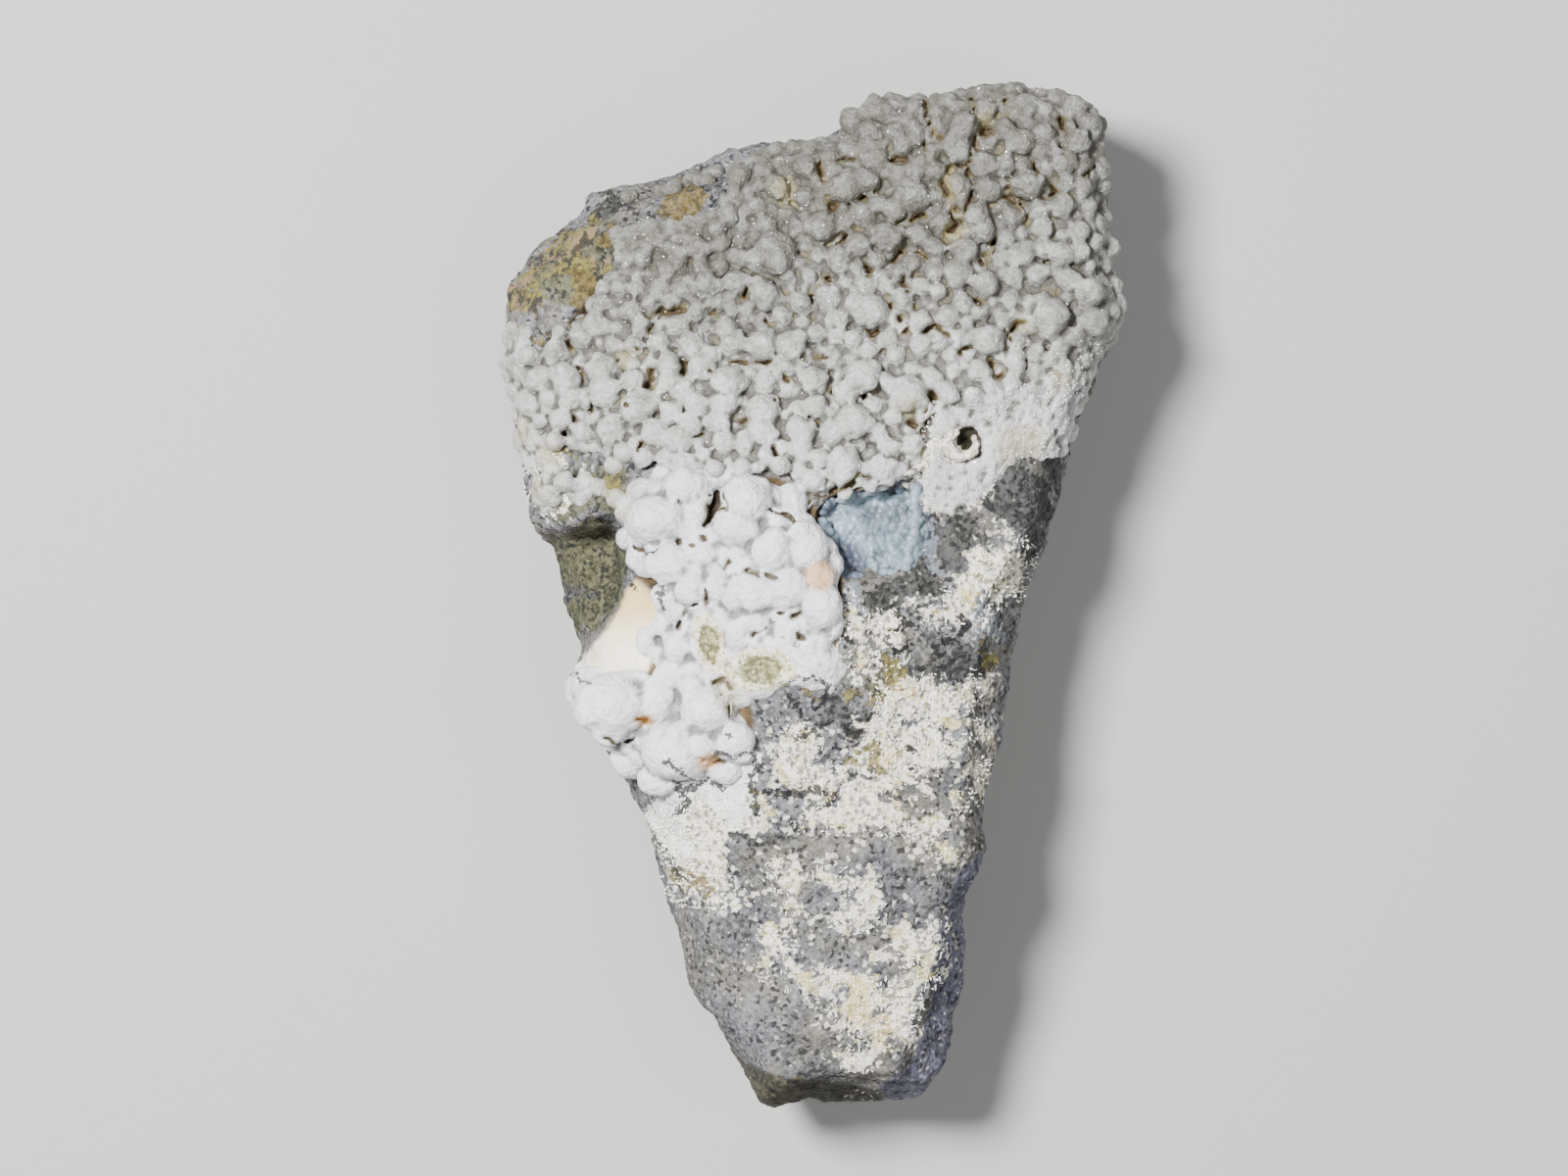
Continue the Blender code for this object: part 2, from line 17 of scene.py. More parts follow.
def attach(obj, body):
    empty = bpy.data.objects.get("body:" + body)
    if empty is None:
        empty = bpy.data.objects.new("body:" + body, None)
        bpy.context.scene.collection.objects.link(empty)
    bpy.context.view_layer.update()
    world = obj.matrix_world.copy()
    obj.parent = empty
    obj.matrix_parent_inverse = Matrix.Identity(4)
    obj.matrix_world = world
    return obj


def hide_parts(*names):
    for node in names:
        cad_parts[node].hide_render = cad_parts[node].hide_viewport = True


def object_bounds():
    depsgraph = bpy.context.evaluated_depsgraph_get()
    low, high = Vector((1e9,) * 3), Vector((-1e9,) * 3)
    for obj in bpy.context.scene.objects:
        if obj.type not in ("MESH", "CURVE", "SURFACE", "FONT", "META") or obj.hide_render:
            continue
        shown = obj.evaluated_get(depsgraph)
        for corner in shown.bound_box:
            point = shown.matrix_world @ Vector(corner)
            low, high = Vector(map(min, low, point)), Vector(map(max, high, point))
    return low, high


bl_info = {
    "name": "Chalcedony specimen",
    "version": (1, 0, 0),
    "blender": (4, 5, 0),
    "location": "View3D > Sidebar > Specimen",
    "description": "Builds a rock specimen with a chalcedony crust over its CAD frame",
    "category": "Mesh",
}

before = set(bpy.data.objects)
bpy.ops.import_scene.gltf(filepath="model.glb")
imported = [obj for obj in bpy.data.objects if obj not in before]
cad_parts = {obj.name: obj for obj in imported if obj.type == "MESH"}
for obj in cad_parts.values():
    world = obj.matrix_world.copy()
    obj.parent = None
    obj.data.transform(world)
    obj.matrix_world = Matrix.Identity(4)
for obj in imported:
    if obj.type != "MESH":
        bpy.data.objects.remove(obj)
CAD_LOW, CAD_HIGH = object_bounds()

NODE = "chalcedony_specimen"
TABLES_LOW = np.array((-49.64, -80.79, 0.0))  # the corners of all that the tables describe
TABLES_HIGH = np.array((49.33, 80.63, 53.02))

THICK = 53.0  # flat back to the highest lump
BELOW = 4.0  # rock below the plane where the back is broken off
BACK_TAPER = 0.17  # how far the sides lean in towards the back, as a share of the half width
WIDEST = 0.62  # height where the sides start to lean in, as a share of the thickness
SPINE = ((-80, -20, 80), (5, 0, 0))  # y and x of the line that the sides lean in towards
RIM_REACH, RIM_DROP = 6.0, 7.0  # how near the outline the face rolls over, and how deep
RECESS_DEPTH, RECESS_SLOPE = 13.0, 2.5  # broken hollow on the left, and how wide its edge slopes
POCKET_DEPTH, POCKET_SLOPE = 4.5, 1.6  # sunken pocket below the crust
NODULE_BOWL, NODULE_SLOPE = 1.0, 3.0  # shell-like hollow in the broken face of the cream nodule
BED_DROP, BED_SLOPE = 1.3, 2.0  # the crust's bed, under the tops of its smallest lumps
SHAPE_SPREAD = 8.0  # reach of one height of the relief
TONE_SPREAD = 7.0  # reach of one whiteness of the chalcedony
FAR = 3.0  # the greatest distance from a patch or a line that is stored
GROWTH_DEPTH = 3.0  # black growths are kept to this depth under the face
SIDE = 5.0  # depth where the sides begin, which also count as this far from the cream face
BROKEN_LUMPS = ((14, 1.5), (5.5, 0.9), (3.4, 0.35))  # size and height of the bumps of broken rock
KNOB_SIZE, KNOB_HEIGHT = 3.2, 0.45  # the bare rock's own rough surface
CRACK_SIZE, CRACK_HEIGHT = 2.3, 0.55
CRUMB_SIZE, CRUMB_HEIGHT = 1.5, 0.3  # on the pale and the clay patches alone
HOLE_DEPTH, PIT_DEPTH = 2.2, 1.2  # hollow of the ring nodule, and the small pits
SUNK_UNDER_GAPS = 1.5  # how far the rock drops under a gap in the crust
CREVICE_DEPTH = 1.8  # how far the lumps drop in a gap
IN_GAP, MID_GAP = 0.05, 0.6  # gap share where a gap begins for a lump, and for a small lump of a bed
LUMP_LEVEL = 1.6  # the depth that stains follow is measured from this height over the face
SUGAR_SIZE, SWELLING_SIZE = 0.9, 2.8  # fine and broad unevenness of the lumps' skin
GAP_ROUNDS, NOOK_ROUNDS, FINE_ROUNDS = 40, 8, 6  # rounds of smoothing that find hollows of each width
CORE_LEVEL, CORE_DISH = 2.1, 0.6  # height of a broken core over the face, and the hollow in it
SLAB_VOXEL = 1.5
BATCH = 40  # small shapes made at a time, which keeps each step short
UPWARD = 0.25  # a crystal grows only where the surface faces up at least this much
CLEAR_OF_FLOOR = 0.002  # and this far above the floor, in metres
# Quartz points on each piece of chalcedony and on the right frost: radius in millimetres and lean
POINTS_EACH, POINTS_ON_FROST, POINT_RADII, POINT_LEAN = 160, 600, (0.1, 0.22), 0.5
# Clinoptilolite tablets: width in millimetres and lean
TABLET_COUNT, TABLET_WIDTHS, TABLET_LEAN = 2600, (0.25, 0.6), 0.8
SEED = 11
noise.seed_set(SEED)  # without it the noise vectors differ with the time of day

OUTLINE = (
    (-48, 48), (-42.5, 55.5), (-37, 60.5), (-34.5, 63), (-27, 64.5), (-18.5, 67), (-12, 69.5),
    (-4.5, 70.5), (4.5, 71.5), (5.5, 74), (8.5, 76.5), (14.5, 77.5), (21, 78.5), (31.5, 80),
    (36, 78.5), (42.5, 77.5), (45, 74.5), (45.5, 69), (46.5, 66), (45.5, 60.5), (47, 55.5),
    (46.5, 51), (49, 46), (47.5, 40.5), (44.5, 37), (43, 31.5), (41, 24), (39, 16.5), (37, 9),
    (34, 3), (31, -2.5), (31, -14.5), (29.5, -20.5), (27.5, -28), (25.5, -33), (27, -39),
    (24.5, -43.5), (23, -49), (23.5, -58.5), (21.5, -65.5), (20, -73.5), (16.5, -78), (10.5, -80),
    (4, -79.5), (0, -78.5), (-5.5, -80), (-8.5, -77.5), (-10.5, -73.5), (-14, -68), (-17, -62),
    (-19.5, -54), (-23, -46), (-24.5, -40), (-25.5, -34.5), (-28, -28.5), (-30.5, -24.5),
    (-34.5, -21), (-37.5, -16.5), (-38.5, -13.5), (-36, -10), (-38.5, -4.5), (-40, 1.5), (-42, 9),
    (-44.5, 13.5), (-46.5, 23), (-47.5, 32), (-49, 36.5), (-48, 42.5),
)

# Heights of the face above the back: x, y, z
RELIEF = (
    (-43.5, 51, 30), (-34.5, 60.5, 31), (-40.5, 43.5, 34), (-47, 40.5, 31), (-21, 63, 35),
    (-28.5, 55.5, 35), (-4.5, 67.5, 36), (6, 72.5, 37), (19.5, 75, 38), (37.5, 75, 38),
    (43.5, 61.5, 38), (46.5, 46.5, 37), (25.5, 61.5, 39), (3, 57, 39), (-19.5, 49.5, 39),
    (-31.5, 46.5, 38), (-45, 31.5, 35), (-28.5, 34.5, 41), (-4.5, 39, 40), (18, 42, 41),
    (37.5, 39, 41), (-40.5, 21, 35), (-27, 19.5, 43), (-12, 24, 43), (4.5, 27, 43), (25.5, 27, 43),
    (39, 25.5, 37), (-39, 7.5, 33), (-21, 10.5, 46), (-9, 13.5, 47), (6, 13.5, 44), (19.5, 13.5, 43),
    (34, 10.5, 38), (25.5, 1.5, 42), (-36, -4.5, 34), (-25.5, -6, 45), (-36, -15, 38),
    (-16.5, -1.5, 49), (-3, 0, 50), (10.5, -4.5, 48), (28, -10.5, 41), (-28.5, -19.5, 43),
    (-18, -21, 47), (-4.5, -19.5, 48), (10.5, -22.5, 47), (24, -24, 42), (-22.5, -34.5, 39),
    (-10.5, -36, 45), (4.5, -37.5, 46), (19.5, -39, 43), (-19.5, -48, 36), (-10.5, -52.5, 43),
    (3, -54, 44), (15, -54, 41), (-12, -67.5, 38), (0, -66, 42), (9, -69, 40), (18, -67.5, 36),
    (-4.5, -76.5, 34), (10.5, -77.5, 34), (-26.5, -1, 44.5), (-27, -11, 44), (-33, -12.5, 42),
    (-38, -13, 38),
)

RECESS = (
    (-50.8, 7.3), (-40.3, 11.1), (-34.3, 12.3), (-28.6, 12.3), (-28.1, 7.3), (-28.1, 1.6),
    (-28.9, -0.4), (-31.3, -4.6), (-34.3, -8.2), (-36.1, -10.3), (-40.3, -13.6), (-50.8, -13.6),
)
POCKET = (
    (0.5, 13.0), (2.5, 15.0), (7.7, 16.2), (13.0, 17.4), (16.4, 18.3), (16.1, 14.8), (15.8, 10.3),
    (14.6, 5.1), (10.7, 2.8), (5.0, 2.2), (3.2, 5.1), (2.0, 9.2),
)
# The beads spread a little beyond the pocket on its right
BEADS = (*POCKET[:4], (17, 18.8), (18.4, 15.2), (18.6, 10.6), (17.4, 6.2), (14.6, 3.2), *POCKET[8:])
NODULE_FACE = (
    (-27.5, 1.6), (-24.5, -1.6), (-24, -4.6), (-26, -12.2), (-34.3, -13.6), (-38.3, -13), (-34.3, -9),
    (-31.3, -5.4), (-29, -1.6),
)
CRUST = (
    (-40.5, 40.5), (-28.5, 52), (-14, 58), (-12, 66.5), (-4.5, 70), (4.5, 70.5), (6, 74.5), (9, 77),
    (18, 77), (31.5, 79.5), (44.5, 75), (45.5, 67.5), (46.5, 55.5), (48.5, 46), (44.5, 38),
    (38.5, 32), (27, 31), (18, 28.5), (17, 21), (11.5, 17.5), (1, 15), (-4.5, 19.5), (-19.5, 19.5),
    (-40.5, 24), (-46.5, 27), (-48, 34.5),
)
SHOULDER = (
    (-28.3, 16.3), (-25.3, 18.1), (-22, 19.6), (-16.3, 19.3), (-13.3, 18.8), (-5.8, 18.4), (-2.5, 16.6),
    (-0.1, 14.2), (1.7, 11.8), (2.9, 9.2), (3.8, 5.1), (4.7, 1.3), (4.4, -4.6), (3.5, -6.9), (5, -12.2),
    (2.5, -13.9), (-4.3, -13.2), (-10, -15.4), (-9.1, -19.6), (-12.1, -25.3), (-16, -28.3), (-20.8, -28.9),
    (-26, -30.9), (-28, -26.4), (-29.8, -23.8), (-33.1, -22.1), (-36.1, -20.4), (-37.9, -13.7),
    (-32.8, -13.3), (-26, -12.4), (-24.1, -7.6), (-24.7, -4.6), (-24.1, -2.4), (-25.3, 1.3), (-27.5, 2.9),
    (-28.9, 7.3), (-29.2, 13.3),
)

# Broken planes on the edges: a point on the plane, the way it faces, how far it reaches
CHIPS = (
    ((18.2, -60, 39), (0.73, -0.32, 0.6), 24),
    ((24.5, -40, 38), (0.82, -0.2, 0.53), 18),
    ((0, -75.6, 36), (0.05, -0.95, 0.3), 24),
    ((-19.3, -54, 33), (-0.8, -0.32, 0.5), 20),
    ((-33, 61, 29), (-0.45, 0.7, 0.55), 22),
    ((-45.5, 47, 30.5), (-0.7, 0.25, 0.67), 13),
    ((44, 30, 34), (0.85, -0.25, 0.46), 20),
    ((30, -10, 33), (0.92, -0.1, 0.38), 20),
    ((43, 64, 12), (0.72, 0.4, -0.56), 34),
    ((8, 72, 11), (-0.15, 0.82, -0.55), 40),
    ((-38, 52, 11), (-0.6, 0.6, -0.53), 34),
    ((-44, 26, 9), (-0.84, 0.05, -0.54), 30),
    ((-36, -6, 12), (-0.85, -0.2, -0.5), 26),
    ((-25, -34, 10), (-0.8, -0.3, -0.52), 30),
    ((-13, -62, 11), (-0.75, -0.3, -0.6), 28),
    ((4, -75, 13), (0.05, -0.8, -0.6), 30),
    ((20, -58, 12), (0.82, -0.1, -0.56), 30),
    ((26, -22, 9), (0.82, -0.15, -0.55), 30),
    ((34, 10, 11), (0.86, -0.2, -0.47), 30),
    ((43, 40, 10), (0.88, 0.0, -0.47), 34),
)

# Chalcedony lumps: x, y, width
CRUST_LUMPS = (
    (-34.0, 42.1, 4.5), (-36.1, 40.0, 3.9), (-28.3, 44.1, 3.9), (-26.9, 41.8, 3.3), (-24.1, 39.1, 3.6),
    (-20.8, 42.1, 3.9), (-18.8, 38.8, 4.5), (-22.3, 35.8, 4.2), (-22.0, 33.1, 4.2), (-32.8, 35.1, 5.1),
    (-32.5, 32.1, 5.1), (-28.1, 33.1, 3.9), (-38.5, 33.6, 5.1), (-42.5, 33.6, 4.5), (-40.3, 38.1, 3.9),
    (-44.0, 29.8, 4.5), (-41.0, 30.6, 3.9), (-37.7, 30.9, 4.5), (-39.2, 27.6, 4.2), (-34.7, 30.3, 3.6),
    (-31.3, 25.8, 5.1), (-35.8, 25.2, 3.6), (-27.5, 29.1, 5.4), (-24.8, 30.3, 3.9), (-22.0, 28.3, 3.9),
    (-20.2, 31.5, 4.5), (-18.2, 29.7, 3.9), (-17.6, 35.1, 4.2), (-13.6, 41.4, 3.9), (-12.5, 39.3, 4.5),
    (-13.3, 32.8, 5.6), (-14.0, 29.7, 4.8), (-14.8, 26.8, 4.2), (-24.5, 25.3, 4.5), (-20.8, 23.8, 4.5),
    (-19.0, 26.2, 3.6), (-38.8, 17.8, 3.3), (-41.0, 15.6, 3.6), (-20.3, 20.6, 3.6), (-17.0, 21.6, 3.0),
    (-7.6, 46.8, 5.1), (-10.3, 44.4, 2.4), (-8.0, 42.3, 3.0), (-8.0, 38.8, 5.1), (-3.5, 38.8, 5.1),
    (-4.9, 35.2, 4.2), (-7.3, 32.8, 3.9), (-7.9, 28.5, 5.4), (-8.0, 25.3, 4.8), (-10.7, 23.6, 3.9),
    (-13.7, 23.8, 3.9), (-2.2, 25.8, 4.2), (-2.0, 22.8, 4.2), (-5.8, 53.5, 6.8), (-8.9, 52.0, 3.9),
    (-11.8, 52.6, 3.6), (-14.2, 54.6, 3.0), (-17.8, 53.8, 3.6), (-20.8, 52.9, 3.3), (-22.6, 50.7, 3.6),
    (-16.3, 48.0, 4.5), (-11.8, 48.6, 3.9), (-20.0, 47.8, 4.2), (-23.8, 47.7, 3.6), (-27.5, 47.7, 3.3),
    (-7.1, 57.4, 3.6), (-10.9, 56.8, 3.0), (-8.8, 60.4, 3.3), (-5.6, 63.4, 3.9), (-10.1, 62.8, 2.7),
    (2.5, 46.4, 4.5), (-2.0, 45.4, 3.6), (9.2, 44.1, 5.4), (6.7, 45.3, 4.2), (4.0, 43.0, 3.9),
    (3.2, 36.4, 3.6), (0.2, 33.6, 4.2), (0.4, 29.4, 3.6), (5.0, 31.3, 4.5), (7.7, 33.8, 5.1),
    (6.2, 26.8, 5.9), (3.1, 25.2, 4.5), (10.0, 25.2, 3.3), (4.7, 20.2, 5.6), (6.5, 18.0, 3.3),
    (1.1, 21.0, 3.6), (0.2, 17.7, 3.9), (11.5, 22.9, 3.6), (15.4, 23.2, 3.9), (10.6, 19.2, 5.0),
    (6.2, 74.1, 4.2), (10.0, 75.1, 5.4), (13.0, 76.2, 4.5), (16.0, 75.8, 3.3), (8.9, 72.1, 3.9),
    (-1.3, 66.6, 3.9), (2.6, 68.4, 3.0), (6.2, 70.2, 3.9), (21.2, 76.8, 3.6), (26.5, 77.8, 3.0),
    (26.9, 75.1, 3.6), (31.4, 78.4, 3.6), (33.1, 76.2, 3.9), (23.5, 73.0, 4.8), (22.0, 70.0, 4.2),
    (23.5, 68.1, 4.2), (29.9, 72.1, 3.9), (32.5, 70.3, 4.5), (35.9, 71.8, 3.3), (38.5, 77.0, 3.9),
    (40.9, 75.8, 4.2), (43.0, 73.2, 4.8), (43.7, 69.4, 3.9), (41.2, 70.6, 3.9), (44.8, 66.4, 3.3),
    (39.2, 67.3, 4.2), (39.7, 64.5, 3.0),
    (26.5, 66.6, 4.8), (29.6, 66.6, 3.9), (19.0, 65.8, 3.6), (16.4, 66.4, 3.9), (13.6, 65.0, 3.6),
    (5.5, 63.4, 4.8), (8.6, 64.2, 3.9), (3.1, 62.8, 3.9), (15.4, 61.9, 5.3), (12.8, 60.0, 4.2),
    (7.7, 59.1, 4.2), (10.3, 60.8, 3.3), (22.7, 64.0, 3.9), (23.5, 61.3, 3.0), (27.4, 62.8, 3.9),
    (33.5, 63.6, 4.8), (35.5, 59.8, 3.6), (38.6, 60.6, 4.2), (35.6, 57.0, 3.6), (31.1, 59.1, 3.9),
    (25.7, 59.1, 4.2), (26.6, 56.5, 3.6), (1.4, 57.2, 4.9), (4.9, 57.9, 3.6), (11.5, 55.6, 5.1),
    (7.0, 54.4, 4.2), (16.7, 55.9, 3.9), (19.9, 58.0, 3.3), (4.0, 52.2, 4.5), (19.0, 53.7, 3.9),
    (23.6, 53.4, 4.2), (22.7, 50.2, 4.8), (29.5, 52.6, 3.6), (32.5, 52.8, 4.5), (35.6, 53.8, 3.6),
    (38.6, 53.1, 4.2), (41.3, 53.4, 3.9), (41.5, 56.5, 3.6), (44.5, 57.6, 3.6), (42.8, 60.6, 3.3),
    (26.9, 48.3, 4.4), (31.0, 49.5, 3.9), (34.9, 49.9, 3.9), (40.0, 48.9, 4.2), (43.0, 47.1, 4.8),
    (8.5, 48.1, 3.9), (13.7, 50.1, 3.3), (16.9, 47.8, 3.0), (13.9, 45.9, 3.9), (23.5, 45.1, 3.3),
    (37.0, 43.4, 6.2), (33.7, 42.4, 3.9), (43.6, 42.6, 4.5), (40.7, 40.2, 3.6), (21.2, 43.4, 3.9),
    (16.7, 42.6, 3.6), (19.6, 40.0, 3.6), (27.2, 39.6, 5.1), (31.7, 36.3, 3.6), (25.7, 34.8, 3.6),
    (38.5, 38.7, 3.6), (21.7, 37.2, 3.3), (16.7, 38.8, 3.6), (11.5, 39.6, 3.3), (8.6, 37.9, 3.0),
    (14.8, 31.2, 6.0), (16.9, 29.4, 3.3), (20.6, 31.3, 3.9), (18.2, 33.8, 3.6),
)
# Lumps of the shoulder: x, y, width, height. Each is swollen until it grows into the next
SWELL = 1.1
SHOULDER_LUMPS = (
    (-19.7, 16.8, 6.9, 5.4), (-24.5, 11.8, 9.3, 7.2), (-18.8, 11.7, 3, 3.9), (-10.3, 14.8, 8.1, 7.5),
    (-8.5, 12.3, 3.9, 3.3), (-12.1, 10.7, 6.9, 6), (-14.5, 9.2, 3.6, 3.3), (-5.6, 11.7, 3.9, 3.6),
    (-17.3, 6.6, 5.4, 3.9), (-6.5, 7, 5.7, 6.3), (-8.5, 9.2, 3.3, 3), (-1, 7.3, 6.3, 8.4),
    (0.8, 3, 5.4, 4.8), (-22.3, 5, 7.2, 5.7), (-18.5, 1.3, 5.1, 5.7), (-14.8, 1.6, 3.9, 5.1),
    (-8.8, 0.9, 9, 6), (-4, 1.3, 6.3, 5.7), (1.4, -1.6, 6.3, 6.6), (-20.8, -2.5, 3.6, 3.9),
    (-20.8, -7.9, 4.5, 4.5), (-22, -12.2, 5.4, 4.8), (-18.4, -11.2, 3.9, 3.6), (-31.3, -16.9, 10.5, 9.9),
    (-24.5, -15.9, 6, 6.9), (-28.3, -13.7, 6, 4.5), (-16.3, -17.6, 7.8, 7.2), (-20.8, -23.8, 10.8, 8.7),
    (-12.2, -22.3, 6, 5.7), (-13.6, -27.1, 5.7, 3.9), (-28.3, -25.6, 6, 5.4), (-24.1, -28.6, 6, 4.5),
    (-18.5, -14.4, 4.5, 4.5), (-26, -6.9, 3, 4.5), (-11.8, -0.1, 4.5, 4.5), (-3.1, 5.1, 4.5, 3.9),
)
RING_NODULE = (22.9, 23.3, 3.05, 2.7)  # x, y, half width, half height
RING_TURNS = np.arange(110, 392, 14)  # where its lumps stand, in degrees, open at the upper right
RING_LUMP, RING_THINNING, RING_THINNEST = 0.74, 0.24, 30  # their radius, and how much less at which angle

# Pieces of the wide crust, each with the reach of its strip across the face, which leans to the right
CRUST_PARTS = (("crust_left", -90, -16), ("crust_middle", -16, 9), ("crust_right", 9, 90))
STRIP_LEAN, STRIP_MIDDLE = 0.3, 45  # how far right for each millimetre above this height on the face

# Lumps thrown into the gaps of the crust, width by width
FILLER_WIDTHS = (3.2, 2.6, 2.1, 1.7)
FILLER_THROWS = 2600

# Broken cores of nodules: x, y, half width, half length, turn in degrees
CORES = ((-16.1, -7.2, 1.7, 3.5, 14), (-8.2, -11.4, 3.8, 2.5, 0))
# The nodules that they are the cores of, each a low dome sunk a little in the face
DOME_HEIGHT, DOME_SINK = 3.0, 0.4
DOMES = (
    (-16.2, -7.4, 3.4, 5.2, 14), (-3.8, -10.2, 8.2, 4.0, -6), (-12, -5.6, 2.4, 3.0, 20), (-9, -13, 5, 3.2, 0),
)

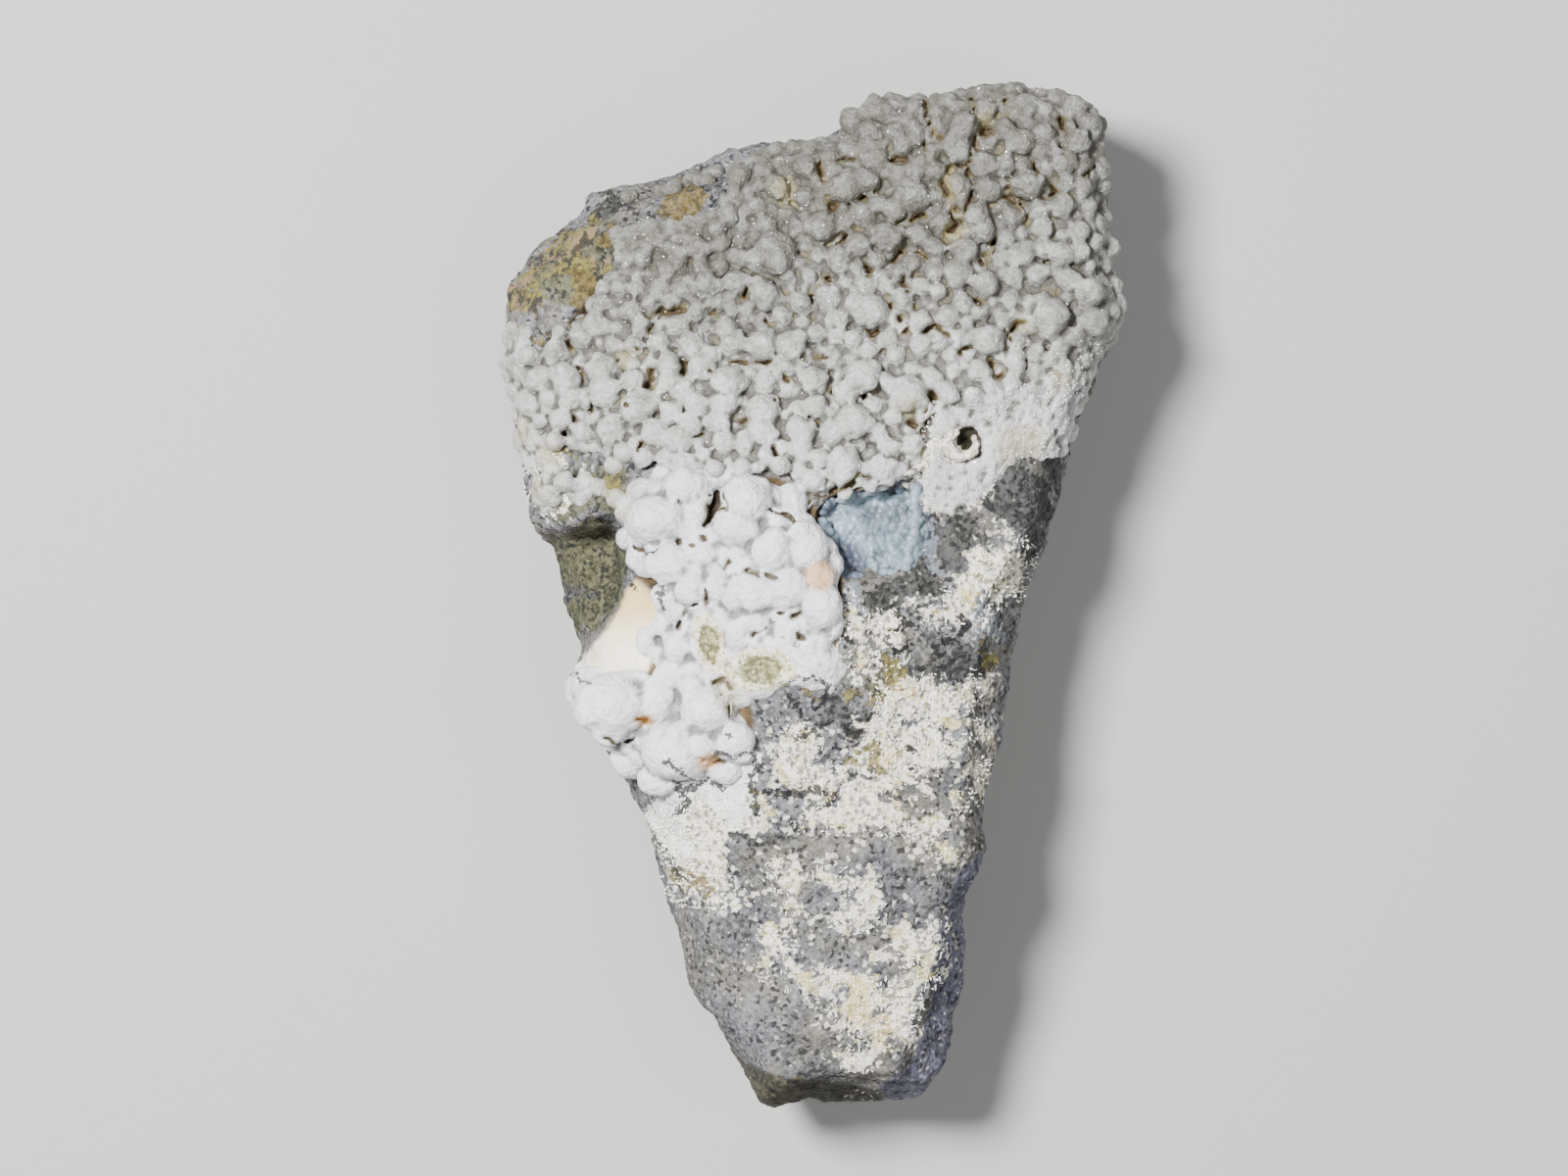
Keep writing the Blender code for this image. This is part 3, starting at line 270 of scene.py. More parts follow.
# Deep gaps between the lumps, stained brown: half width and the line of each
CREVICES = (
    (0.45, (4.4, 67.6), (6.5, 67.8)), (0.3, (12.5, 67.6), (14.5, 67.5)),
    (0.6, (0.5, 68.1), (1.1, 65.5), (1.7, 64.6)), (0.45, (17.6, 76.8), (17.8, 74.5)),
    (0.38, (24.7, 77.5), (25, 75.1)), (0.3, (30.2, 76.8), (30.5, 74.8)), (0.6, (38.6, 74.1), (38.9, 71.8)),
    (0.67, (26.5, 71.8), (27.7, 72.3)), (0.45, (25.3, 71), (24.5, 68.1)),
    (0.45, (18.5, 73.3), (19, 71.1), (20, 71)),
    (0.53, (21.5, 66.1), (22.7, 66.6), (24.2, 67), (24.5, 65.5)), (0.45, (17.5, 68.8), (17, 70)),
    (0.45, (38.5, 70), (39.2, 68.8)), (0.3, (34.4, 67.3), (35, 65.5)),
    (0.75, (37, 64), (37.7, 62.1), (36.2, 61.3)), (0.67, (2.5, 61.3), (2.9, 59.8), (3.5, 60.6)),
    (0.3, (7.7, 61.6), (9.2, 62.8)),
    (0.6, (20.5, 63.6), (21.2, 62.1), (22, 59.1), (23, 58), (22, 56.5), (20.5, 55.4)),
    (0.38, (24.7, 62.5), (23.5, 59.5)), (0.82, (30.2, 62.4), (31.7, 60.6), (33.2, 59.1)),
    (0.45, (13.4, 58), (15.2, 58), (17.5, 59.1)), (0.45, (2.9, 54.6), (4.7, 55.6), (7, 57.1)),
    (0.6, (-2, 53.9), (-1, 52.9)), (0.67, (28.4, 55), (28, 53.1), (26.5, 51.9)),
    (0.45, (7.4, 51.1), (9.2, 50.5), (8.9, 49.6)), (0.6, (1, 48.6), (2.2, 49.4), (3.2, 47.9)),
    (0.45, (12.2, 52), (13.7, 53.5)), (0.45, (16, 53.1), (17.5, 52.4)), (0.45, (14, 49.4), (14.6, 47.5)),
    (0.45, (11.5, 46.4), (12.2, 44.5)), (0.3, (-0.5, 46.4), (-0.1, 44.9)),
    (0.6, (13.4, 42.6), (14.5, 41.1)), (0.6, (8.2, 40.9), (9.4, 40)),
    (0.45, (17.5, 41.1), (19.7, 41.9), (20.5, 40.4)), (0.38, (25.1, 45.8), (26.2, 45.1)),
    (0.6, (31, 41.1), (32.5, 42.1)), (0.45, (37, 47.9), (37.7, 46.6)), (0.3, (43.7, 66.6), (42.5, 65.1)),
    (0.75, (-25.3, 43.6), (-23, 44.2), (-20.8, 44.2)), (0.45, (-24.8, 42.6), (-25.6, 41.1)),
    (0.45, (-37.3, 43), (-35.8, 43.6), (-34.9, 45.6)), (0.6, (-39.1, 39.6), (-38, 38.9)),
    (0.3, (-36.8, 35.5), (-35.8, 34.6)), (0.3, (-30.5, 36.6), (-29.5, 35.1)),
    (0.38, (-27.5, 37.8), (-26.8, 37.6)), (0.6, (-24.8, 34.8), (-25.3, 33.1), (-26, 32.2), (-24.8, 31.9)),
    (0.6, (-20.5, 36.6), (-19.7, 35.1), (-20.3, 34.4)), (0.3, (-16, 43.6), (-15.1, 43.9)),
    (0.45, (-10.3, 47.9), (-10.6, 46.4)), (0.3, (-6.5, 49), (-5.5, 48.4)), (0.3, (-4, 47.1), (-3.7, 45.6)),
    (0.45, (-7.3, 42.6), (-5.8, 41.5)), (0.3, (-12.5, 36.3), (-10.6, 36.1)),
    (0.38, (-8.8, 36.1), (-6.5, 36.3)), (0.24, (-16.3, 34.8), (-15.4, 34.4)),
    (0.53, (-4.4, 33.8), (-3.4, 33.1)), (0.38, (-2, 27.6), (-1, 27.3), (-0.4, 27.1)),
    (0.3, (-1, 36.6), (0.5, 37), (2.5, 36.9)), (0.3, (-31.6, 29.5), (-30.1, 30.1), (-29, 29.5)),
    (0.45, (-34.3, 30.1), (-34.6, 28.6)), (0.6, (-37.3, 27.6), (-38, 26.1), (-38.8, 25.3)),
    (0.45, (-11, 26.6), (-10.3, 27.1)), (0.3, (-17.9, 24.6), (-17, 24.9)),
    (0.3, (-5.8, 30.1), (-5.2, 30.6)), (0.38, (-6.1, 22.6), (-5.5, 21.1)),
    (0.24, (-31.3, 23.1), (-30.5, 23.8)), (0.24, (-27.1, 22.6), (-26.8, 23.8)),
    (0.3, (-20.8, 14.5), (-19.6, 13.9)),
    (0.6, (-16.1, 15.1), (-16, 12.6), (-16.6, 11.1), (-17.5, 9.6), (-17, 8.7)),
    (0.45, (2.2, 32.1), (3.2, 30.6)), (0.3, (7.7, 30.6), (9.2, 31.6)),
    (0.9, (18.7, 30.8), (17.9, 27.6), (17.5, 26.6), (17.9, 25.1), (17.8, 22.6)),
    (0.6, (14.9, 26.6), (16.7, 26.1)), (0.6, (29.9, 40.6), (31, 38.9)), (0.6, (22.7, 37.8), (24.2, 38.1)),
    (0.6, (28, 35.9), (29, 34)), (0.3, (32.9, 36.6), (33.5, 35.5)), (0.38, (7.7, 18.4), (10, 17.8)),
    (0.38, (13.7, 18.1), (16, 18.6), (16.4, 19.3)), (0.45, (2.9, 16.2), (5.5, 17.1), (7.4, 18.6)),
    (0.75, (-0.7, 15.8), (0.2, 14.1)), (0.45, (1.7, 15.4), (3.2, 15.1)),
    (0.3, (-28.3, 9), (-26.8, 7), (-25.3, 6.5), (-24.1, 7.3), (-20.8, 8.4), (-18.5, 7.9)),
    (0.3, (-14, 16.3), (-13.6, 13.3), (-16, 12.9)), (0.24, (-7.3, 13.3), (-4.3, 12.6), (-2.8, 11.4)),
    (0.38, (-13, 5.5), (-13.6, 4.3), (-12.4, 5)), (0.45, (-10.3, 4), (-8.5, 3.4), (-4.9, 2.7)),
    (0.24, (-16.7, 1.3), (-16.3, -0.9), (-19.3, -1.9)),
    (0.38, (-19.3, -1.8), (-20.2, -3.4), (-20.8, -4.8)), (0.53, (-6.1, -2.9), (-4.3, -3.4), (-2, -2.7)),
    (0.38, (-9.4, -5.8), (-7.9, -5)),
    (0.2, (-6.1, -6.1), (-4.3, -6.5), (-2.5, -5.8), (-0.5, -6.9), (1.7, -7.9)),
    (0.45, (-16, -13.7), (-13.6, -12.9), (-12.5, -13.9)), (0.3, (-14, -15.4), (-12.7, -19.1)),
    (0.38, (-27.4, -18.9), (-25, -19.1)), (0.3, (-27.4, -22.3), (-30.1, -22.8), (-32.5, -22.1)),
    (0.45, (-16.4, -25.3), (-14, -25.3)),
)
# Thin frosted crust beside the wide one
FROST = (
    (-33, 62), (-27, 63.6), (-18.5, 66), (-12, 68.5), (-5, 69.5), (-5.5, 66.5), (-12, 65), (-19, 63.6),
    (-26, 62), (-31, 60.6),
)
UPPER_BED = (
    (-30.5, 51.5), (-31.5, 57), (-27, 58.6), (-21.5, 58.2), (-17, 60), (-13, 62.5), (-11.5, 61),
    (-13.5, 56.5), (-20, 54.5), (-27, 50.5),
)
LOW_FROST = (
    (-46, 26.5), (-40.5, 23.5), (-30, 22), (-28, 17.5), (-31, 14.5), (-37, 14), (-43, 15), (-45.5, 20),
)
RIGHT_FROST = (
    (17.9, 29.5), (20, 30.1), (23.5, 31.9), (28.7, 32.5), (34.7, 33.1), (40, 36.4), (43.4, 40),
    (45.5, 38.9), (44, 35.5), (43.1, 31.3), (41.3, 27.6), (40.7, 23.6), (37.7, 21.1), (33.2, 20.8),
    (28.7, 18.4), (27.2, 14.8), (23.5, 13.9), (19.7, 13.3), (16.7, 15.1), (15.8, 17.2), (17.3, 19.6),
    (18.2, 22.1),
)
# The broken bevel right of the front face at the narrow end, painted darker and bluish as shade, partly its
# own colour
BEVEL = (
    (26.2, -39.9), (22.7, -42.9), (20.5, -48.2), (19.7, -52.7), (19, -58.7), (18.2, -64.7), (16, -71.4),
    (13.7, -73.7), (10, -76.7), (14, -81), (22, -80), (25, -66), (26, -58.7), (26, -48.2), (28, -43.7),
)
# The broken strip below the front face's lower edge, painted dark olive, partly its own colour and partly
# shade
UNDERSIDE = (
    (-13, -71), (-11.2, -73), (-5.2, -74.5), (2, -75.6), (8.2, -77), (11, -78), (11, -83), (-13, -83),
)
# Stretches of the outline that the chalcedony wraps over
CRUST_RIM = OUTLINE[7:26]
LEFT_RIM = OUTLINE[-4:]
SHOULDER_RIM = OUTLINE[OUTLINE.index((-28, -28.5)):OUTLINE.index((-36, -10)) + 1]
CRUST_RIM_SPACING, SHOULDER_RIM_SPACING = 1.7, 2.2
RIM_ROWS = (0.9, 1.6, 2.4, 3.3)  # how far in from the outline each row of small lumps lies
CLOSED = -9.0  # a bed with no thin places
# Beds of small lumps: area, spacing, level over the face, drop at the edge, where it is thin
CRUST_BEDS = (
    (CRUST, 1.9, 0.95, 0.0, CLOSED), (FROST, 1.5, 1.0, 0.4, CLOSED), (UPPER_BED, 2.0, 0.9, 0.6, CLOSED),
    (LOW_FROST, 2.0, 1.2, 0.0, -0.1), (RIGHT_FROST, 1.4, 0.8, 0.9, CLOSED),
)
SHOULDER_BED = (SHOULDER, 2.6, 1.9, 1.4, CLOSED)
POCKET_BED = (BEADS, 1.0, 0.9, 2.4, CLOSED)
HOLE = (24.1, 24.5, 1.6, 1.8, 0)  # the hollow of the ring nodule
PITS = ((28.7, 30.3, 0.9, 0.8, 0), (-20.6, -3.2, 0.8, 1.3, 0))

YELLOW = (
    (-41.4, 22.4, 2, 2, 0), (-29.8, 17.1, 3.5, 2.5, 0), (-30.5, 12.6, 3, 2, 0), (-43.6, 16.4, 1.5, 4, 0),
    (-46.3, 25.4, 2, 2.5, 0), (32.5, 41.9, 2, 1.5, 0), (38.5, 33.6, 2, 1.5, 0), (21.2, 63.6, 1.5, 2, 0),
    (22, 56.6, 2, 2, 0), (-4.3, 62.9, 2, 2.5, 0), (-13.3, -14.7, 2.6, 3.6, 15), (-15, 13.4, 1.5, 1.5, 0),
    (-29, 37, 1.5, 2, 0), (15, 29, 2, 2, 0), (27, 74, 1.5, 1.5, 0), (32.5, 23.5, 4.5, 3, 20),
)

# How white the chalcedony is, its own whiteness together with painted shade that darkens the crust towards
# the wide top end: x, y, whiteness
TONES = (
    (-35, 45, 0.25), (-20, 60, 0), (0, 66, 0), (25, 75, 0.02), (42, 72, 0.08), (-10, 54, 0.12),
    (20, 60, 0.08), (45, 50, 0.3), (30, 45, 0.25), (0, 40, 0.35), (-42, 32, 0.5), (-20, 30, 0.5),
    (-33, 22, 0.5), (5, 28, 0.5), (-10, 20, 0.65), (15, 25, 0.6), (-20, 12, 0.66), (-10, 5, 0.76),
    (0, 0, 0.8), (-25, -20, 0.82), (-18, -25, 0.82), (20, 35, 0.5), (28, 25, 0.75), (-5, 12, 0.7),
    (2, -12, 0.78),
)

# Patches on the stone: x, y, half width, half height, turn in degrees
PALE = (
    (22, 16.5, 5.5, 2.5, 5), (30, 4.5, 5, 5.5, 0), (25.5, 0.5, 5, 3, 0), (21.5, -3, 5.5, 2, 0),
    (6.5, -6, 2.5, 5.5, 0), (11.5, -4.5, 3, 2.5, 0), (11.5, -8.5, 3.5, 2.5, 0),
    (16.5, -15.5, 7, 4, 0), (21.5, -18, 3, 2.5, 0), (11.5, -21, 4, 2.5, 0), (16, -23.5, 7, 3.5, 0),
    (10.5, -26.5, 8.5, 2.5, 0), (3, -27, 8, 3, 0), (-3, -24, 4.5, 4, 0), (9.5, -31.5, 3.5, 4, 0),
    (7.5, -34, 7, 3, 0), (1.5, -34, 4.5, 2.5, 0), (26.5, -26.5, 1.5, 2, 0),
    (23.5, -31.5, 2, 2, -40), (25.5, -20.5, 2, 1.5, 0), (24.5, -14, 1.5, 2.5, 0),
    (-18.5, -35.5, 6.5, 5.5, 0), (-18.5, -41.5, 5, 5, 0), (-15.5, -46, 6.5, 2, 0),
    (-10, -33, 3.5, 2.5, 0), (-5.5, -43, 2, 3, 20), (3.5, -42.5, 3, 2, 0), (8, -47, 3, 4.5, 20),
    (7, -49.5, 4, 2, 0), (-4.5, -54, 2.5, 3.5, 0), (-7, -57.5, 2, 1.5, 0), (-1, -60, 3.5, 2, -15),
    (2, -58.5, 2, 2, 0), (8.5, -60.5, 6, 2.5, 0), (16, -59, 3.5, 2, 0), (6.5, -64, 4, 2.5, 0),
    (13.5, -63, 3.5, 3.5, 0), (10, -66.5, 5.5, 2, 0), (7.5, -70.5, 3.5, 2.5, 0),
    (16.5, -55, 3.5, 2.5, 20), (19.5, -52, 1.5, 2, 0), (-4.5, -48.5, 1.5, 1, 0),
    (17.5, -36, 2.5, 3, 0), (19.5, -39, 2, 1.5, 0), (25.5, 27, 7.5, 2.5, 0),
    (31.5, 25.5, 4.5, 2, 0), (37, 32, 3.5, 2, 0), (-42.5, 21, 3.5, 4.5, 0),
    (-40.5, 15.5, 3.5, 2, 0), (22, 23, 6, 4.5, 0),
)
DARK = (
    (31, 15.5, 5, 5, 0), (35, 9.5, 2, 6.5, 0), (21, 8, 5, 5, 0), (14.5, 0.5, 5, 3, 0),
    (16, 4, 2.5, 1.5, 0), (5.5, -19, 6.5, 3, 0), (2, -15.5, 2.5, 2, 0), (6.5, -21, 2, 1.5, 0),
    (21, -9.5, 5, 2, 0), (20.5, -12, 2.5, 1, 0), (0, -33.5, 2.5, 2, 0), (-8, -35.5, 4.5, 2, 0),
    (-34.5, 3, 6, 6, 0), (-36, -3, 4, 3.5, 0), (-32.5, 61, 4, 2, 0), (-16.5, 63, 3.5, 1.5, 0),
    (-30, 53, 2, 1.5, 0), (-27.5, 56, 2, 1.5, 0), (-41, 52.5, 2.5, 1.5, 0), (-35, 46.5, 2, 1, 0),
    (10, -27, 2, 2, 0), (39, 22.5, 2, 9, 0),
)
CLAY = (
    (-45, 47.5, 5, 2.5, 12), (-40, 55.5, 4, 2, 42), (-36, 56.5, 3.5, 3.5, 0),
    (-36.5, 53.5, 3.5, 2, 0), (-45, 40.5, 4, 1.5, 8), (-36.5, 50.5, 3.5, 2, 0),
    (-28.5, 54, 2, 1, 0), (-42.5, 51, 3, 1.5, 30), (-42, 24.5, 3, 2.5, 0), (-31, 17.5, 2.5, 1.8, 0),
    (14.5, -12.5, 3, 1.5, -20), (9.5, -14.5, 3.5, 1.5, 10),
    (9.5, -25.5, 2.5, 1, 0), (25, -9, 2, 2, 0), (-19.5, -44.5, 3.5, 1.5, 0), (5.5, -13.5, 2, 1.5, 0),
)
RUST = (
    (-21, 61, 3.6, 2, 8), (-34.5, 48, 2.5, 1.5, 0), (-26, -19, 2, 1, 0),
    (1, 3, 2.4, 2.4, 0), (-2, -14.5, 1, 1, -30), (-31, 56, 1.5, 1.2, 0), (-16.5, -25.5, 2, 1.5, 0),
)
OLIVE = (
    (-36, 6, 8, 5, 0), (-31, 2, 3, 5, 0), (-31.5, 17, 5, 4, 0), (-38, 16, 6, 4, 0), (12, -13, 4, 2.5, 0),
    (-35, -4, 4, 4, 0), (-36, 52, 8, 5, 40), (-2, -78.5, 9, 2.5, -8),
)
WHITE = (
    (-23.8, -30.5, 3, 6.5, 8), (-22.5, -38, 2.5, 4.5, 0), (-17, -30.5, 5, 2.5, 0), (-13.5, -31, 4, 2, 0),
    (-11, -27.5, 3, 3, 0),
)
BLUE = (
    (17.5, 9, 3, 6, 0), (23.5, -5.5, 1, 2, 0), (27, -4.5, 3.5, 1.5, 0), (38, 27, 2, 2, 0),
    (6.5, 1, 2.5, 3, 0),
)

# Darker places in the pocket: its own dark purple grey at the lower left, and painted shadow under the
# crust's edge at the upper left
POCKET_DARK_AND_SHADOW = ((5.5, 5.5, 3, 3.5, 20), (2.5, 13.5, 2, 1.5, 0))

# Fine black manganese growths, each a short broken line
DENDRITES = (
    ((0, -12), (2.5, -13.5), (1.5, -16), (0.5, -17)),
    ((-3.5, -15.5), (-2, -18), (-1.5, -19)),
    ((-4, -13.5), (-2.5, -12.5), (-0.5, -13)),
    ((-15, -24), (-12.5, -24.5), (-9.5, -24)),
    ((-9.5, -24), (-8, -26), (-10, -28), (-9, -31), (-9, -33)),
    ((-13.5, -21), (-12, -21.5)),
    ((-21.5, -28.5), (-20.5, -30.5), (-19.5, -32), (-21, -33.5)),
    ((-37, -12), (-36, -13), (-34.5, -13.5)),
    ((-28.5, 2), (-27.5, 1)),
    ((-23, -25), (-21, -26.5), (-19, -28)),
    ((-19.5, -29.5), (-16.5, -28.5), (-14, -29.5)),
    ((-7.5, -30), (-5.5, -30.5), (-2, -30.5), (0, -29.5), (3, -30.5), (2.5, -32)),
    ((5.5, -4), (5, -6), (6, -7)),
    ((12.5, -2.5), (14.5, -3.5), (13.5, -5)),
    ((11.5, -7), (13, -9), (15, -7)),
    ((11.5, -6), (13.5, -4.5), (16, -5)),
    ((4.5, -20.5), (6.5, -21.5), (7.5, -20.5)),
    ((14.5, -23.5), (15.5, -24)),
    ((23, -3), (24, -4.5), (22, -6.5), (20, -7)),
    ((2.5, -19.5), (-1, -21), (-3, -22)),
    ((-23.5, 1.5), (-24, -0.5), (-23, -2)),
)


def linear(text):
    """An sRGB hex colour as linear red, green and blue."""
    parts = [int(text[i:i + 2], 16) / 255 for i in (1, 3, 5)]
    return tuple(c / 12.92 if c <= 0.04045 else ((c + 0.055) / 1.055) ** 2.4 for c in parts)


def tint(text):
    return (*linear(text), 1.0)


# Places on the face

def inside(xy, polygon):
    """Which of the points lie inside the polygon."""
    x, y = xy[:, 0], xy[:, 1]
    found = np.zeros(len(xy), bool)
    for (ax, ay), (bx, by) in zip(polygon, polygon[1:] + polygon[:1]):
        if ay == by:
            continue
        crossing = (ay > y) != (by > y)
        found ^= crossing & (x < (bx - ax) * (y - ay) / (by - ay) + ax)
    return found


def line_distance(xy, corners):
    """Distance from each point to the nearest stretch of the line."""
    nearest = np.full(len(xy), 1e9)
    for a, b in zip(corners, corners[1:]):
        start, along = np.array(a, float), np.array(b, float) - np.array(a, float)
        share = np.clip((xy - start) @ along / (along @ along), 0, 1)
        gap = np.linalg.norm(xy - start - share[:, None] * along, axis=1)
        nearest = np.minimum(nearest, gap)
    return nearest


def edge_distance(xy, polygon):
    return line_distance(xy, polygon + polygon[:1])


def within(xy, polygon):
    """Distance inside the polygon's edge, negative outside it."""
    return np.where(inside(xy, polygon), 1, -1) * edge_distance(xy, polygon)


def ellipse_share(xy, blob):
    """0 at the middle of an ellipse and 1 on its edge."""
    x, y, across, along, turn = blob
    angle = math.radians(turn)
    right, up = xy[:, 0] - x, xy[:, 1] - y
    u = right * math.cos(angle) + up * math.sin(angle)
    v = up * math.cos(angle) - right * math.sin(angle)
    return np.hypot(u / across, v / along)


def patch(xy, blobs):
    """Distance inside the nearest patch's edge, negative outside."""
    nearest = np.full(len(xy), -FAR)
    for blob in blobs:
        nearest = np.maximum(nearest, (1 - ellipse_share(xy, blob)) * min(blob[2], blob[3]))
    return np.clip(nearest, -FAR, FAR)


def step(values, low, high):
    """Smooth rise from 0 at low to 1 at high."""
    share = np.clip((values - low) / (high - low), 0, 1)
    return share * share * (3 - 2 * share)


def sunk(xy, polygon, reach):
    return step(within(xy, polygon), 0, reach)


def blended(xy, table, spread):
    """Smooth mix of the table's values, each strongest near its own place."""
    places = np.array(table, float)
    gaps = ((xy[:, None, :] - places[None, :, :2]) ** 2).sum(axis=2)
    weights = np.exp(-gaps / (2 * spread**2)) + 1e-12
    return (weights * places[:, 2]).sum(axis=1) / weights.sum(axis=1)


def face_height(xy):
    """Height of the face without its lumps."""
    height = blended(xy, RELIEF, SHAPE_SPREAD)
    height -= RECESS_DEPTH * sunk(xy, RECESS, RECESS_SLOPE)
    height -= POCKET_DEPTH * sunk(xy, POCKET, POCKET_SLOPE)
    height -= NODULE_BOWL * sunk(xy, NODULE_FACE, NODULE_SLOPE)
    height -= BED_DROP * sunk(xy, CRUST, BED_SLOPE)
    roll = 1 - step(edge_distance(xy, OUTLINE), 0, RIM_REACH)
    return height - RIM_DROP * roll**2


def height_at(x, y):
    return face_height(np.array([[x, y]], float))[0]


# Meshes, in millimetres until they are finished

def vectors(items, name):
    """One row for each of the mesh's points or polygons."""
    values = np.empty(len(items) * 3)
    items.foreach_get(name, values)
    return values.reshape(-1, 3)


def coordinates(mesh):
    return vectors(mesh.vertices, "co")


def normals(mesh):
    return vectors(mesh.vertex_normals, "vector")


def put_coordinates(mesh, points):
    mesh.vertices.foreach_set("co", np.ascontiguousarray(points).ravel())
    mesh.update()


def evaluated(obj):
    """The mesh that a curve or an object with modifiers makes, in place of the object."""
    bpy.context.scene.collection.objects.link(obj)
    graph = bpy.context.evaluated_depsgraph_get()
    made = bpy.data.meshes.new_from_object(obj.evaluated_get(graph))
    bpy.data.objects.remove(obj, do_unlink=True)
    return made


def remeshed(mesh, voxel):
    """The same solid with all that overlaps fused, in even quads of the voxel size."""
    obj = bpy.data.objects.new("fusing", mesh)
    fuse = obj.modifiers.new("fuse", "REMESH")
    fuse.mode = "VOXEL"
    fuse.voxel_size = voxel
    made = evaluated(obj)
    bpy.data.meshes.remove(mesh)
    return made


def neighbour_mean(mesh, values):
    """Mean of each point's neighbours along the edges."""
    ends = np.empty(len(mesh.edges) * 2, np.int64)
    mesh.edges.foreach_get("vertices", ends)
    a, b = ends.reshape(-1, 2).T
    count = np.bincount(a, minlength=len(values)) + np.bincount(b, minlength=len(values))
    total = np.empty_like(values)
    for k in range(values.shape[1]):
        total[:, k] = np.bincount(a, values[b, k], len(values)) + np.bincount(b, values[a, k], len(values))
    return total / np.maximum(count, 1)[:, None]


def relaxed(mesh, rounds):
    """The mesh's points, each moved halfway to the mean of its neighbours, some rounds over."""
    points = coordinates(mesh)
    for _ in range(rounds):
        points = (points + neighbour_mean(mesh, points)) / 2
    return points


def hollows(mesh, rounds):
    """Depth of each point below the smoothed surface, in millimetres, negative where it stands out."""
    return ((relaxed(mesh, rounds) - coordinates(mesh)) * normals(mesh)).sum(axis=1)


def bumps(points, size, octaves):
    """Smooth random height for each point, about -1 to 1."""
    basis = "PERLIN_ORIGINAL"
    return np.array([noise.fractal(Vector(p) / size, 0.8, 2.0, octaves, noise_basis=basis) for p in points])


def rough(points, size, amount=1.0):
    """Smooth random offset of each point, up to the amount in each direction."""
    return np.array([noise.noise_vector(Vector(p) / size) for p in points]) * amount


def wander(xy, size, layer, amount):
    """The same across the face, where each layer is another pattern."""
    return rough(np.column_stack((xy, np.full(len(xy), float(layer)))), size, amount)[:, :2]


def cracks(points, size):
    """0 along the joints of angular grains and about 1 in their middles."""
    found = [noise.voronoi(Vector(p) / size)[0] for p in points]
    return np.array([near[1] - near[0] for near in found])


def add_attribute(mesh, name, values):
    made = mesh.attributes.new(name, "FLOAT", "POINT")
    made.data.foreach_set("value", np.ascontiguousarray(values, np.float32))


def hand_over(mesh, name, material):
    """Make the mesh a piece that stands for the stone."""
    mesh.name = name
    mesh.materials.clear()
    mesh.materials.append(material)
    piece = bpy.data.objects.new(name, mesh)
    bpy.context.scene.collection.objects.link(piece)
    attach(piece, "root")
    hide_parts(NODE)


def finished(mesh, name, material):
    """Fit the mesh to the frame's box and hand it over."""
    low, high = np.array(CAD_LOW), np.array(CAD_HIGH)
    share = (coordinates(mesh) - TABLES_LOW) / (TABLES_HIGH - TABLES_LOW)
    put_coordinates(mesh, low + share * (high - low))
    mesh.shade_smooth()
    hand_over(mesh, name, material)


def ball(x, y, z, sizes, turn):
    """Where a unit ball goes to become one lump."""
    turned = Matrix.Rotation(turn, 4, "Z") @ Matrix.Diagonal((*sizes, 1))
    return Matrix.Translation(Vector((x, y, z))) @ turned


def gap_share(xy, widened=1.0):
    """1 in the middle of a deep gap between lumps, falling to 0 beside it."""
    share = np.zeros(len(xy))
    for half_width, *line in CREVICES:
        reach = half_width * widened
        low, high = np.min(line, axis=0) - 2.5 * reach, np.max(line, axis=0) + 2.5 * reach
        near = np.flatnonzero(((xy > low) & (xy < high)).all(axis=1))
        if len(near):
            found = np.exp(-(line_distance(xy[near], line) / reach) ** 2)
            share[near] = np.maximum(share[near], found)
    return share


def lump_places(lumps, lift, dice, satellites=0):
    """Rounded lumps half sunk in the face, no two quite alike, with smaller ones grown on them."""
    spots = np.array([(*lump, lump[-1]) if len(lump) == 3 else lump for lump in lumps], float)
    places = []
    for (x, y, width, height), z in zip(spots, face_height(spots[:, :2])):
        across, along = width / 2 * dice.uniform(0.96, 1.06), height / 2
        radius = min(across, along)
        tall = radius * dice.uniform(0.95, 1.15)
        middle = z + lift * radius + dice.uniform(-0.2, 0.25)
        turn = dice.uniform(0, math.tau) if width == height else 0
        places.append(ball(x, y, middle, (across, along, tall), turn))
        for _ in range(satellites):
            around, up = dice.uniform(0, math.tau), dice.uniform(-0.1, 0.9)
            size = radius * dice.uniform(0.36, 0.58)
            level = 0.76 * math.cos(up)
            side = (x + level * across * math.cos(around), y + level * along * math.sin(around))
            if gap_share(np.array([side]))[0] < IN_GAP:
                places.append(ball(*side, middle + 0.72 * tall * math.sin(up), (size, size, size), 0))
    return places


def covering(area, spacing, dice):
    """Places spread over an area, none in a deep gap or off the stone, and how far inside each lies."""
    corners = np.array(area, float)
    low, high = corners.min(axis=0) - 1, corners.max(axis=0) + 1
    spots = []
    for index, y in enumerate(np.arange(low[1], high[1], spacing * 0.87)):
        for x in np.arange(low[0] + index % 2 * spacing / 2, high[0], spacing):
            spots.append((x + dice.uniform(-0.3, 0.3) * spacing, y + dice.uniform(-0.3, 0.3) * spacing))
    spots = np.array(spots)
    depth = within(spots + wander(spots, 3, 2, 1.6), area)
    kept = (depth > 0.2 * spacing) & (within(spots, OUTLINE) > 0.4) & (gap_share(spots) < MID_GAP)
    kept &= ellipse_share(spots, (*RING_NODULE, 0)) > 1.2
    return spots[kept], depth[kept]


